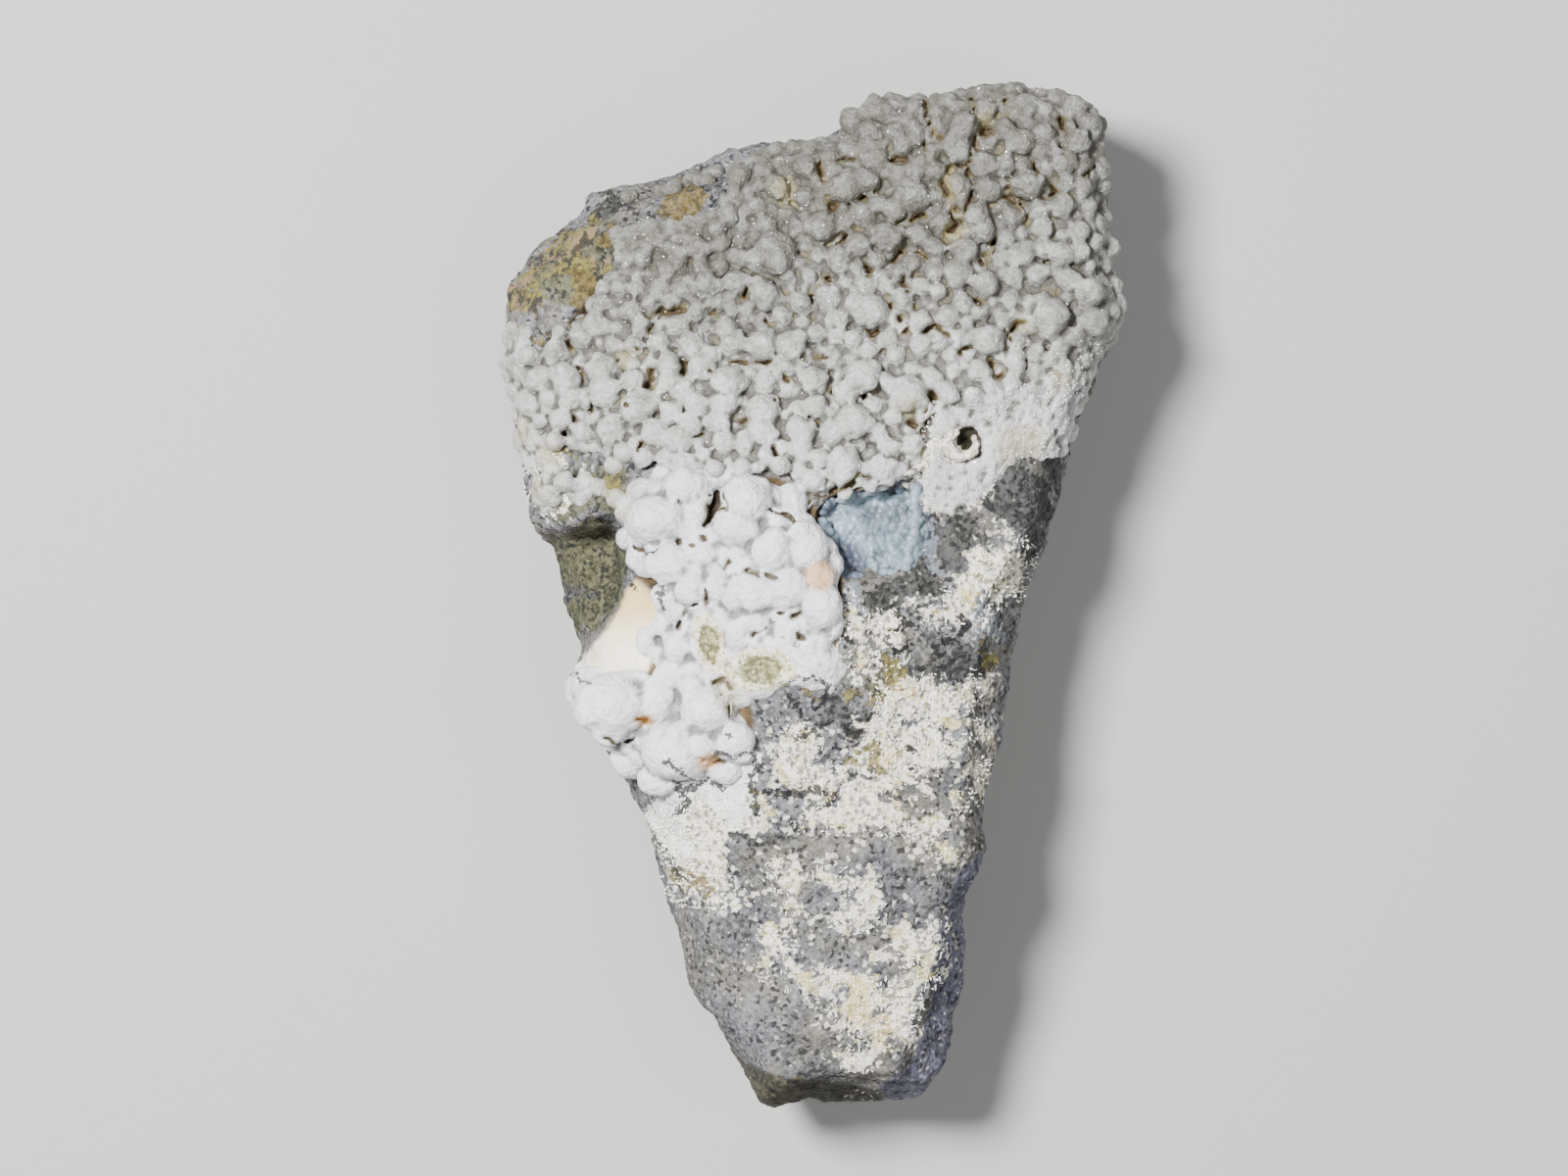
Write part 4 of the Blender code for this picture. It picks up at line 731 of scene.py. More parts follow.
def rim_places(line, spacing, dice):
    """Small lumps down the rolled edge, where the face drops too steeply for the bed."""
    places = []
    for a, b in zip(line, line[1:]):
        start, along = Vector(a), Vector(b) - Vector(a)
        inwards = Vector((along.y, -along.x)).normalized()
        count = max(1, round(along.length / spacing))
        for index in range(count):
            for away in RIM_ROWS:
                spot = start + along * (index + dice.uniform(0.1, 0.9)) / count + inwards * away
                radius = spacing * dice.uniform(0.65, 1.0)
                z = face_height(np.array([spot]))[0]
                places.append(ball(spot.x, spot.y, z - 0.3 * radius, (radius, radius, radius), 0))
    return places


def bed_places(area, spacing, level, taper, thin, dice):
    """A closed bed of small lumps, its top near the level over the face, left out where it is thin."""
    places = []
    spots, depths = covering(area, spacing, dice)
    for (x, y), z, depth in zip(spots, face_height(spots), depths):
        radius = spacing * dice.uniform(0.75, 1.0)
        swell = 0.9 * noise.noise(Vector((x, y, 0)) / 5) - taper * max(0, 1 - depth / 2.5)
        if noise.noise(Vector((x, y, 9)) / 3.5) < thin:
            continue
        places.append(ball(x, y, z + level + swell - radius, (radius, radius, radius), 0))
    return places


def filler_lumps(lumps, area, widths, throws, dice):
    """Small lumps thrown into the gaps that the placed ones leave."""
    corners = np.array(area, float)
    low, high = corners.min(axis=0), corners.max(axis=0)
    near = [np.array(lump, float) for lump in lumps]
    added = []
    for width in widths:
        spots = [(dice.uniform(low[0], high[0]), dice.uniform(low[1], high[1])) for _ in range(throws)]
        spots = np.array(spots)
        for spot in spots[inside(spots, area)]:
            taken = np.array(near)
            gaps = np.linalg.norm(taken[:, :2] - spot, axis=1)
            if gap_share(spot[None])[0] > IN_GAP or (gaps < 0.39 * (taken[:, 2] + width)).any():
                continue
            near.append(np.array((*spot, width)))
            added.append((*spot, width))
    return added


def joined(items, make):
    """One mesh of many small shapes, each added to a bmesh by the function that is given."""
    bm = bmesh.new()
    for first in range(0, len(items), BATCH):
        batch = bmesh.new()
        for item in items[first:first + BATCH]:
            make(batch, item)
        part = bpy.data.meshes.new("batch")
        batch.to_mesh(part)
        batch.free()
        bm.from_mesh(part)
        bpy.data.meshes.remove(part)
    mesh = bpy.data.meshes.new("joined")
    bm.to_mesh(mesh)
    bm.free()
    return mesh


def fused_balls(places, voxel, subdivisions=2):
    """One solid of balls that overlap, in quads of the voxel size, which is in metres like its setting."""
    def one_ball(bm, place):
        bmesh.ops.create_icosphere(bm, subdivisions=subdivisions, radius=1, matrix=place)

    return remeshed(joined(places, one_ball), voxel * 1000)


def slab():
    """Plate with the outline of the stone, as thick as the stone."""
    curve = bpy.data.curves.new("outline", "CURVE")
    curve.dimensions = "2D"
    curve.fill_mode = "BOTH"
    curve.extrude = (THICK + BELOW) / 2
    spline = curve.splines.new("POLY")
    spline.points.add(len(OUTLINE) - 1)
    for point, (x, y) in zip(spline.points, OUTLINE):
        point.co = (x, y, 0, 1)
    spline.use_cyclic_u = True
    mesh = evaluated(bpy.data.objects.new("outline", curve))
    bm = bmesh.new()
    bm.from_mesh(mesh)
    bmesh.ops.translate(bm, vec=Vector((0, 0, (THICK - BELOW) / 2)), verts=bm.verts)
    bmesh.ops.remove_doubles(bm, verts=bm.verts, dist=1e-4)
    bmesh.ops.recalc_face_normals(bm, faces=bm.faces)
    bm.to_mesh(mesh)
    bm.free()
    return remeshed(mesh, SLAB_VOXEL)


def chip(points, origin, facing, reach):
    """Push all that stands out beyond a broken plane back to it, near its middle."""
    facing = np.array(facing, float)
    facing /= np.linalg.norm(facing)
    away = points - np.array(origin, float)
    beyond = np.maximum(away @ facing, 0)
    near = 1 - step(np.linalg.norm(away, axis=1), 0.6 * reach, reach)
    return points - (beyond * near)[:, None] * facing


def rock_form():
    """The stone without its lumps, as broken as the solid in the frame."""
    mesh = slab()
    points = coordinates(mesh)
    share = (points[:, 2] + BELOW) / (THICK + BELOW)
    top = face_height(points[:, :2])
    points[:, 2] = -BELOW + share * (top + BELOW)
    lean = 1 - BACK_TAPER * (1 - step(share, 0, WIDEST)) ** 1.5
    spine = np.interp(points[:, 1], *SPINE)
    points[:, 0] = spine + (points[:, 0] - spine) * lean
    points[:, 1] *= 0.5 + 0.5 * lean
    for origin, facing, reach in CHIPS:
        points = chip(points, origin, facing, reach)
    for size, amount in BROKEN_LUMPS:
        points += rough(points, size, amount)
    put_coordinates(mesh, points)
    return mesh


# Materials

def add(tree, kind, inputs=None, output=0, **settings):
    """Add a node with its settings, set or feed its sockets and return one of its outputs."""
    made = tree.nodes.new(kind)
    for name, value in settings.items():
        setattr(made, name, value)
    for key, value in (inputs or {}).items():
        if isinstance(value, bpy.types.NodeSocket):
            tree.links.new(value, made.inputs[key])
        else:
            made.inputs[key].default_value = value
    return made.outputs[output]


def new_material(name, values):
    """A material with one principled shader, its plain values set on its sockets."""
    material = bpy.data.materials.new(name)
    material.use_nodes = True
    shader = material.node_tree.nodes["Principled BSDF"]
    for key, value in values.items():
        shader.inputs[key].default_value = value
    return material, material.node_tree, shader


def finish_material(tree, shader, colour, height, depth):
    """Give the shader its colour and a fine relief, its depth in millimetres."""
    tree.links.new(colour, shader.inputs["Base Color"])
    relief = add(tree, "ShaderNodeBump", {"Strength": 1.0, "Distance": depth / 1000, "Height": height})
    tree.links.new(relief, shader.inputs["Normal"])


def place_on_piece(tree, seed):
    """Each point's place, shifted so that two patterns of one size differ."""
    place = add(tree, "ShaderNodeTexCoord", output="Object")
    return add(tree, "ShaderNodeMapping", {"Location": (seed, seed * 0.7, 0), "Vector": place})


def blotches(tree, size, seed=0.0, detail=3.0, roughness=0.6):
    """Random grey, mostly 0.3 to 0.7, in soft blotches of the size given in millimetres."""
    place = place_on_piece(tree, seed)
    inputs = {"Scale": 1000 / size, "Detail": detail, "Roughness": roughness, "Vector": place}
    return add(tree, "ShaderNodeTexNoise", inputs, "Fac")


def grains(tree, size, seed=0.0):
    """One random grey, 0 to 1, for each angular grain of the size given in millimetres."""
    inputs = {"Scale": 1000 / size, "Vector": place_on_piece(tree, seed)}
    return add(tree, "ShaderNodeSeparateColor", {"Color": add(tree, "ShaderNodeTexVoronoi", inputs, "Color")})


def weighed(tree, *terms, start=0.0):
    """Sum of patterns, or of what the mesh stores under a name, each times its weight."""
    total = start
    for pattern, weight in terms:
        if isinstance(pattern, str):
            pattern = add(tree, "ShaderNodeAttribute", output="Fac", attribute_name=pattern)
        total = add(tree, "ShaderNodeMath", {0: pattern, 1: weight, 2: total}, operation="MULTIPLY_ADD")
    return total


def laid(tree, under, colour, pattern, low, high, most=1.0):
    """Lay a colour over another, from none of it where the pattern is low to the most where it is high."""
    if isinstance(pattern, str):
        pattern = weighed(tree, (pattern, 1.0))
    share = add(
        tree, "ShaderNodeMapRange", {"Value": pattern, "From Min": low, "From Max": high, "To Max": most},
        interpolation_type="SMOOTHSTEP",
    )
    # A mix node's colours are its sockets 6 and 7, and output 2
    return add(tree, "ShaderNodeMix", {0: share, 6: under, 7: colour}, 2, data_type="RGBA")


def crumbling(tree, name, size, amount, seed):
    """Distance inside a stored patch that breaks up into crumbs towards its edge."""
    crumbs = ((blotches(tree, size, seed, 4.0), 2 * amount), (grains(tree, 0.7, seed), 1.2))
    return weighed(tree, *crumbs, (name, 1.0), start=-amount - 0.6)


def with_dendrites(tree, colour):
    """Black manganese growths, a string of specks less than 0.5 mm wide."""
    specks = weighed(tree, ("dendrite", 1.0), (grains(tree, 0.45), 0.55))
    return laid(tree, colour, tint("#171516"), specks, 0.12, 0.2, 0.9)


# Patches of rock in one other shade: stored name, size of its ragged edge, how far that goes, seed,
# where it begins and is full, how strong it is, its deepest and its lightest colour
ROCK_SHADES = (
    ("dark", 3.0, 2.2, 0.1, -0.3, 0.3, 0.88, "#1B1B1C", "#535350"),
    ("olive", 3.0, 2.0, 0.15, -0.5, 0.8, 0.78, "#28271A", "#6C6A4A"),
    ("blue", 1.6, 1.6, 0.2, 0.0, 0.5, 0.42, "#8694A2", "#AAB9C6"),
)


def broken_basalt(settings):
    """Altered volcanic rock, broken and not worn: dull, its grains under 1 mm, some white, some dark."""
    material, tree, shader = new_material(
        "altered_basalt_broken", {"Roughness": 0.85, "IOR": 1.5, "Specular IOR Level": 0.35},
    )
    coarse, fine = grains(tree, 0.8), grains(tree, 0.6, 0.9)
    soft, broad = blotches(tree, 0.9, 0.0, 4.0, 0.7), blotches(tree, 11.0, 0.3)
    mixed = weighed(tree, (fine, 0.35), (soft, 0.6), (broad, 0.5))
    colour = laid(tree, tint("#3A3A3C"), tint("#8F8F93"), mixed, 0.45, 1.05)
    colour = laid(tree, colour, tint("#8F8870"), blotches(tree, 14.0, 4.1, 2.0), 0.45, 0.65, 0.35)
    for name, size, amount, seed, low, high, most, deep, light in ROCK_SHADES:
        shade = laid(tree, tint(deep), tint(light), mixed, 0.5, 0.95)
        colour = laid(tree, colour, shade, crumbling(tree, name, size, amount, seed), low, high, most)
    # The faces that were broken last get painted shade: the right bevel darker and bluish, the strip below
    # dark olive, which is partly their own colour
    bevel = weighed(tree, ("bevel", 1.0), (fine, 0.8))
    under = weighed(tree, ("under", 1.0), (fine, 0.8))
    shaded_bevel_rock = laid(tree, tint("#3A3A47"), tint("#7B7B91"), mixed, 0.45, 1.1)
    colour = laid(tree, colour, shaded_bevel_rock, bevel, 0.1, 0.7, 0.85)
    shaded_under_rock = laid(tree, tint("#191711"), tint("#565140"), mixed, 0.45, 1.1)
    colour = laid(tree, colour, shaded_under_rock, under, 0.1, 0.7, 0.88)
    either = add(tree, "ShaderNodeMath", {0: bevel, 1: under}, operation="MAXIMUM")
    turned = add(tree, "ShaderNodeMapRange", {"Value": either, "From Min": 0.1, "From Max": 0.7})
    # Feldspar and zeolite grains are scattered white on the grey, dark ones are pyroxene
    near_pale = weighed(tree, ("pale", 0.08), (coarse, 1.0), (turned, -0.06), ("dark", -0.02))
    colour = laid(tree, colour, tint("#E9E5D4"), near_pale, 0.82, 0.87, 0.85)
    flecks = weighed(tree, (grains(tree, 0.45, 2.3), 1.0), ("olive", -0.03), ("dark", -0.004))
    colour = laid(tree, colour, tint("#D9D5C8"), flecks, 1.062, 1.09, 0.7)
    colour = laid(tree, colour, tint("#26262A"), fine, 0.13, 0.08, 0.75)
    # Clinoptilolite fills the rock in crumbly white patches with grey and buff grains left in them
    pale_rock = laid(tree, tint("#C4B583"), (*settings.pale_colour, 1), soft, 0.38, 0.5)
    pale_rock = laid(tree, pale_rock, tint("#7E7B72"), fine, 0.27, 0.2, 0.85)
    pale_rock = laid(tree, pale_rock, tint("#E2CB7E"), blotches(tree, 6.0, 5.3), 0.52, 0.62, 0.6)
    pale = weighed(tree, (crumbling(tree, "pale", 4.0, 3.2, 0.4), 1.0), (turned, -3.0))
    colour = laid(tree, colour, pale_rock, pale, 0.25, 0.6, 0.97)
    white_rock = laid(tree, tint("#C9C7C0"), tint("#FAFAF8"), soft, 0.34, 0.46)
    colour = laid(tree, colour, white_rock, crumbling(tree, "white", 2.5, 1.6, 0.8), 0.0, 0.4, 0.95)
    # Weathered clay is dull yellow, pink in places, with dark rock left between its crumbs
    clay = laid(tree, tint("#544D2E"), (*settings.clay_colour, 1), soft, 0.38, 0.55)
    clay = laid(tree, clay, tint("#8F7A5E"), blotches(tree, 5.0, 7.7), 0.52, 0.58, 0.8)
    clay = laid(tree, clay, tint("#2C2A26"), blotches(tree, 2.6, 3.3, 4.0, 0.65), 0.5, 0.45, 0.92)
    colour = laid(tree, colour, clay, crumbling(tree, "clay", 3.5, 2.6, 0.5), 0.0, 0.4, 0.9)
    rust = laid(tree, tint("#3E3418"), tint("#7F6D38"), soft, 0.36, 0.62)
    colour = laid(tree, colour, rust, crumbling(tree, "rust", 2.5, 1.8, 0.6), 0.0, 0.5, 0.8)
    # The broken face of the big nodule is smooth and cream, buff towards its top, and painted lighter towards
    # its bottom as light
    face = laid(tree, tint("#D8C089"), tint("#F4EDD6"), "painted_light_and_buff", 0.1, 0.9)
    face = laid(tree, face, tint("#B49A62"), blotches(tree, 3.0, 0.7, 4.0, 0.65), 0.5, 0.7, 0.3)
    colour = laid(tree, colour, face, "cream", -1.4, -0.4)
    bed = laid(tree, tint("#33271A"), tint("#6B5633"), broad, 0.4, 0.6)
    colour = laid(tree, colour, bed, "bed", -0.5, 0.5, 0.95)
    colour = laid(tree, colour, tint("#3A3522"), "hole", 0.1, 0.8)
    # Painted shade darkens the rock's small hollows
    colour = laid(tree, colour, tint("#2B2926"), "hollow", 0.05, 0.4, 0.5)
    height = weighed(tree, (soft, 1.0), (fine, 0.25), (coarse, 0.25))
    cream = weighed(tree, ("cream", 1.0))
    off_cream = {"Value": cream, "From Min": -0.4, "From Max": -1.4, "To Max": height}
    relief = add(tree, "ShaderNodeMapRange", off_cream)
    finish_material(tree, shader, with_dendrites(tree, colour), relief, 0.8)
    return material


def chalcedony(name, top_colour, low_colour, gap_shade_colour, deep_colour):
    """Chalcedony grown as lumps under a skin of fine quartz: waxy, a little see-through, sugary."""
    material, tree, shader = new_material(name, {
        "Roughness": 0.5, "IOR": 1.54, "Subsurface Weight": 0.12, "Subsurface Radius": (1.0, 0.95, 0.9),
        "Subsurface Scale": 0.0004,
    })
    sugar, cloud = grains(tree, 0.5, 0.2), blotches(tree, 3.5, 1.1)
    # The stored tone is partly the chalcedony's own whiteness and partly painted shade, darker towards the
    # wide top end
    tone = weighed(tree, ("tone", 0.9), (cloud, 0.8), (sugar, 0.18))
    colour = laid(tree, tint(low_colour), (*top_colour, 1), tone, 0.35, 1.4)
    # Painted shade darkens the gaps and nooks grey, and iron stains them ochre and, in the deepest ones,
    # brown
    gaps = weighed(tree, ("hollow", 1.0), (cloud, 0.3))
    colour = laid(tree, colour, tint(gap_shade_colour), gaps, 0.08, 0.42, 0.85)
    colour = laid(tree, colour, tint(gap_shade_colour), "nook", 0.02, 0.14, 0.55)
    colour = laid(tree, colour, tint("#A2986A"), crumbling(tree, "yellow", 2.5, 1.8, 0.3), -0.5, 1.0, 0.5)
    stain = weighed(tree, ("depth", 0.3), (cloud, 3.0), ("hollow", 2.0), ("crevice", 1.6), ("halo", 0.8))
    colour = laid(tree, colour, tint("#827446"), stain, 2.8, 4.2, 0.6)
    colour = laid(tree, colour, tint(deep_colour), stain, 3.9, 5.2, 0.9)
    colour = laid(tree, colour, tint("#857F6B"), blotches(tree, 1.4, 6.1, 4.0, 0.7), 0.62, 0.7, 0.35)
    height = weighed(tree, (sugar, 0.3), (cloud, 0.8), (blotches(tree, 0.9, 0.2, 3.0, 0.7), 1.0))
    return material, tree, shader, with_dendrites(tree, colour), height, sugar, cloud


def grey_chalcedony(settings):
    """The wide crust: bluish grey lumps with a sugary skin."""
    # The fourth colour given is the painted shade in the gaps between the lumps
    material, tree, shader, colour, height, _, _ = chalcedony(
        "chalcedony_botryoidal_grey", settings.crust_colour, "#5C5A51", "#4A4740", "#3C2C17",
    )
    finish_material(tree, shader, colour, height, 0.6)
    return material


def white_chalcedony(settings):
    """The big lumps of the shoulder: milk white, with olive cores where they are broken."""
    # The fourth colour given is the painted shade in the gaps between the lumps
    material, tree, shader, colour, height, sugar, cloud = chalcedony(
        "chalcedony_botryoidal_white", settings.shoulder_colour, "#8E8F94", "#6A6A68", "#4F4537",
    )
    core = weighed(tree, ("core", 1.0), (blotches(tree, 1.4, 2.2, 4.0, 0.7), 1.0))
    broken = laid(tree, tint("#66623F"), tint("#A6A178"), sugar, 0.1, 0.8)
    rim = laid(tree, tint("#B5A97C"), tint("#EBE5CF"), sugar, 0.1, 0.6)
    broken = laid(tree, broken, rim, core, 1.3, 1.5)
    colour = laid(tree, broken, colour, core, 1.75, 2.05)
    peach = weighed(tree, ("rust", 1.0), (cloud, 1.5))
    colour = laid(tree, colour, tint("#D3A263"), peach, 0.2, 1.6, 0.8)
    finish_material(tree, shader, colour, height, 0.6)
    return material


def blue_chalcedony(settings):
    """Pocket lining of beads about 1 mm wide: blue green, waxy and a little see-through."""
    material, tree, shader = new_material("chalcedony_beaded_blue", {
        "Roughness": 0.38, "IOR": 1.54, "Subsurface Weight": 0.3, "Subsurface Scale": 0.001,
    })
    colour = laid(tree, tint("#525D64"), (*settings.pocket_colour, 1), blotches(tree, 3.5, 0.6), 0.35, 0.6)
    # Darker purple grey, partly the pocket's own colour and partly painted shadow under the crust's edge
    colour = laid(tree, colour, tint("#45485C"), "shade", -0.7, 1.3, 0.8)
    # Painted shade darkens the hollows between the beads
    colour = laid(tree, colour, tint("#2F3A42"), "hollow", 0.02, 0.16, 0.7)
    finish_material(tree, shader, colour, blotches(tree, 0.5, 0.2, 2.0), 0.15)
    return material


def nodule_rim():
    """Broken ring nodule: a granular cream rim round a dark hollow."""
    material, tree, shader = new_material("nodule_rim_broken", {"Roughness": 0.6, "IOR": 1.52})
    crumbs = blotches(tree, 0.6, 0.4, 2.0)
    colour = laid(tree, tint("#A99C8C"), tint("#E6DDD0"), crumbs, 0.38, 0.6)
    colour = laid(tree, colour, tint("#2B2620"), "depth", 0.9, 1.5, 0.9)
    finish_material(tree, shader, colour, crumbs, 0.3)
    return material


def quartz_points_material():
    """Clear quartz points of the sugary skin, grown and never polished: bright glints."""
    return new_material(
        "quartz_points_grown", {"Base Color": tint("#F4F5F7"), "Roughness": 0.12, "IOR": 1.544},
    )[0]


def tablet_material():
    """Clinoptilolite tablets: pearly white flakes that stand up from the pale patches."""
    return new_material(
        "clinoptilolite_tablets_grown", {"Base Color": tint("#F3F0E5"), "Roughness": 0.3, "IOR": 1.48},
    )[0]


# Pieces

def dendrites(mesh, reach=0.2):
    """Store how far each point lies from the manganese lines, which wander as they grow."""
    points = coordinates(mesh)
    xy = points[:, :2] + wander(points[:, :2], 1.6, 0, 0.9)
    nearest = np.full(len(xy), FAR)
    for line in DENDRITES:
        nearest = np.minimum(nearest, line_distance(xy, line))
    on_top = points[:, 2] > face_height(xy) - GROWTH_DEPTH
    add_attribute(mesh, "dendrite", reach - np.where(on_top, nearest, FAR))


def patch_attributes(mesh, on_face):
    """Store how far each point lies inside the patches of the face."""
    xy = coordinates(mesh)[:, :2]
    xy = xy + wander(xy, 6, 3, 3.5) + wander(xy, 2.2, 5, 1.8)
    tables = {
        "pale": PALE, "dark": DARK, "clay": CLAY, "rust": RUST, "blue": BLUE, "olive": OLIVE, "white": WHITE,
    }
    for name, blobs in tables.items():
        add_attribute(mesh, name, np.where(on_face, patch(xy, blobs), -FAR))
    dendrites(mesh, reach=0.4)


def build_rock(settings):
    """The bare rock, calm where the crust or a frost covers it."""
    mesh = remeshed(rock_form(), settings.rock_voxel * 1000)
    points, outward = coordinates(mesh), normals(mesh)
    xy = points[:, :2]
    on_face = points[:, 2] > face_height(xy) - SIDE

    def inside_any(areas):
        return np.where(on_face, np.maximum.reduce([within(xy, area) for area in areas]), -FAR)

    cream = np.where(on_face, within(xy, NODULE_FACE), -SIDE)
    covered = step(inside_any((CRUST, SHOULDER, POCKET)), -0.5, 0.8)
    points[:, 2] -= SUNK_UNDER_GAPS * gap_share(xy) * covered
    frosted = 0.8 * step(inside_any((FROST, UPPER_BED, RIGHT_FROST)), -0.5, 1.0)
    calm = step(-cream, 0, 1.2) * (1 - covered) * (1 - frosted)
    raised = np.where(on_face, np.maximum(patch(xy, PALE), patch(xy, CLAY)), -FAR)
    raised = step(raised, -0.8, 0.5)
    height = KNOB_HEIGHT * bumps(points, KNOB_SIZE, 4)
    height += (CRACK_HEIGHT + 0.25 * raised) * (cracks(points, CRACK_SIZE) - 0.3)
    height += CRUMB_HEIGHT * raised * bumps(points, CRUMB_SIZE, 2)
    points += (height * calm - np.maximum(covered, frosted))[:, None] * outward
    sink = HOLE_DEPTH * step(1 - ellipse_share(xy, HOLE), -0.15, 0.2)
    for pit in PITS:
        sink = np.maximum(sink, PIT_DEPTH * step(1 - ellipse_share(xy, pit), -0.2, 0.4))
    points[:, 2] = np.maximum(points[:, 2] - sink * on_face, 0)
    put_coordinates(mesh, points)
    patch_attributes(mesh, on_face)
    add_attribute(mesh, "cream", cream)
    # Painted light on the cream face, lighter towards its lower end, with its own buff towards the top
    add_attribute(mesh, "painted_light_and_buff", step(-xy[:, 1], -2, 12))
    add_attribute(mesh, "bed", inside_any((CRUST, SHOULDER)))
    add_attribute(mesh, "hole", sink * on_face)
    # Faces painted with shade, partly their own colour: the bluish bevel and the dark olive strip below
    add_attribute(mesh, "bevel", np.clip(within(xy, BEVEL), -FAR, FAR))
    add_attribute(mesh, "under", np.clip(within(xy, UNDERSIDE), -FAR, FAR))
    add_attribute(mesh, "hollow", hollows(mesh, FINE_ROUNDS))
    finished(mesh, "host_rock", broken_basalt(settings))


def dress_lumps(mesh, sugar_height, softness=1):
    """Give fused lumps their uneven skin and store what their colours follow."""
    points = relaxed(mesh, softness)
    drift = rough(points, 1.8)
    along_gap = points[:, :2] + 0.6 * drift[:, :2]
    deep = gap_share(along_gap, 0.95) * step(drift[:, 2], -0.25, 0.1)
    points[:, 2] -= CREVICE_DEPTH * deep
    put_coordinates(mesh, points)
    add_attribute(mesh, "crevice", deep)
    add_attribute(mesh, "halo", gap_share(along_gap, 2.6))
    skin = sugar_height * bumps(points, SUGAR_SIZE, 2) + 2 * sugar_height * bumps(points, SWELLING_SIZE, 2)
    put_coordinates(mesh, points + skin[:, None] * normals(mesh))
    xy, height = coordinates(mesh)[:, :2], coordinates(mesh)[:, 2]
    depth = face_height(xy) + BED_DROP * sunk(xy, CRUST, BED_SLOPE) + LUMP_LEVEL - height
    add_attribute(mesh, "depth", np.clip(depth, 0, 6))
    add_attribute(mesh, "yellow", patch(xy, YELLOW))
    add_attribute(mesh, "hollow", hollows(mesh, GAP_ROUNDS))
    add_attribute(mesh, "nook", hollows(mesh, NOOK_ROUNDS))
    # Tone: the chalcedony's own whiteness with painted shade towards the wide top end
    add_attribute(mesh, "tone", blended(xy, TONES, TONE_SPREAD))
    dendrites(mesh)


def crust_lumps(dice):
    """All lumps of the wide crust, the high ones with smaller lumps on them."""
    fillers = filler_lumps(CRUST_LUMPS, CRUST, FILLER_WIDTHS, FILLER_THROWS, dice)
    places = lump_places(CRUST_LUMPS, 0.55, dice, satellites=4)
    places += lump_places(fillers, 0.45, dice, satellites=1)
    for bed in CRUST_BEDS:
        places += bed_places(*bed, dice)
    for line in (CRUST_RIM, LEFT_RIM):
        places += rim_places(line, CRUST_RIM_SPACING, dice)
    return places


def build_crust(settings):
    """The wide crust in pieces that meet along the gaps between lumps."""
    material = grey_chalcedony(settings)
    places = crust_lumps(random.Random(SEED))

    def across(place):
        return place.translation.x - STRIP_LEAN * (place.translation.y - STRIP_MIDDLE)

    for name, left, right in CRUST_PARTS:
        mine = [place for place in places if left <= across(place) < right]
        mesh = fused_balls(mine, settings.crust_voxel)
        dress_lumps(mesh, settings.skin_height * 1000)
        finished(mesh, name, material)


def flatten_cores(mesh):
    """Break the tops off the cored nodules and store how far each point lies from a core."""
    points = coordinates(mesh)
    xy = points[:, :2]
    share = np.full(len(points), 3.0)
    for core in CORES:
        mine = ellipse_share(xy, core)
        level = height_at(*core[:2]) + CORE_LEVEL
        top = level - CORE_DISH * step(1 - mine, -0.1, 0.25) + 0.15 * bumps(points, 1.0, 2)
        points[:, 2] = np.where(mine < 1.5, np.minimum(points[:, 2], top), points[:, 2])
        share = np.minimum(share, mine)
    put_coordinates(mesh, points)
    add_attribute(mesh, "core", share)


def build_shoulder(settings):
    """The big lumps below the crust and the two broken nodules between them."""
    dice = random.Random(SEED + 1)
    lumps = [(x, y, SWELL * width, SWELL * height) for x, y, width, height in SHOULDER_LUMPS]
    places = lump_places(lumps, 0.3, dice, satellites=2) + bed_places(*SHOULDER_BED, dice)
    places += rim_places(SHOULDER_RIM, SHOULDER_RIM_SPACING, dice)
    for x, y, across, along, turn in DOMES:
        z = height_at(x, y) - DOME_SINK
        places.append(ball(x, y, z, (across, along, DOME_HEIGHT), math.radians(turn)))
    mesh = fused_balls(places, settings.crust_voxel)
    flatten_cores(mesh)
    dress_lumps(mesh, settings.skin_height * 1000, softness=7)
    add_attribute(mesh, "rust", patch(coordinates(mesh)[:, :2], RUST))
    finished(mesh, "shoulder_nodules", white_chalcedony(settings))


def build_pocket(settings):
    """The lining of small beads."""
    places = bed_places(*POCKET_BED, random.Random(SEED + 2))
    mesh = fused_balls(places, settings.bead_voxel)
    add_attribute(mesh, "shade", patch(coordinates(mesh)[:, :2], POCKET_DARK_AND_SHADOW))
    add_attribute(mesh, "hollow", hollows(mesh, FINE_ROUNDS))
    finished(mesh, "blue_pocket", blue_chalcedony(settings))


def build_ring(settings):
    """Ring nodule, open at its upper right, where its wall is thinnest."""
    x, y, across, along = RING_NODULE
    level = height_at(x, y)
    dice = random.Random(SEED + 3)
    places = []
    for angle in np.radians(RING_TURNS):
        thinning = RING_THINNING * math.cos(angle - math.radians(RING_THINNEST))
        size = (RING_LUMP - thinning) * dice.uniform(0.9, 1.1)
        swell = dice.uniform(0.9, 1.04)
        spot = (x + (across - size) * swell * math.cos(angle), y + (along - size) * swell * math.sin(angle))
        places.append(ball(*spot, level + 0.5, (size, size, size), 0))
    mesh = fused_balls(places, settings.bead_voxel, subdivisions=3)
    points = coordinates(mesh)
    points += (0.12 * bumps(points, 0.9, 3))[:, None] * normals(mesh)
    put_coordinates(mesh, points)
    add_attribute(mesh, "depth", level + LUMP_LEVEL - points[:, 2])
    finished(mesh, "ring_nodule", nodule_rim())


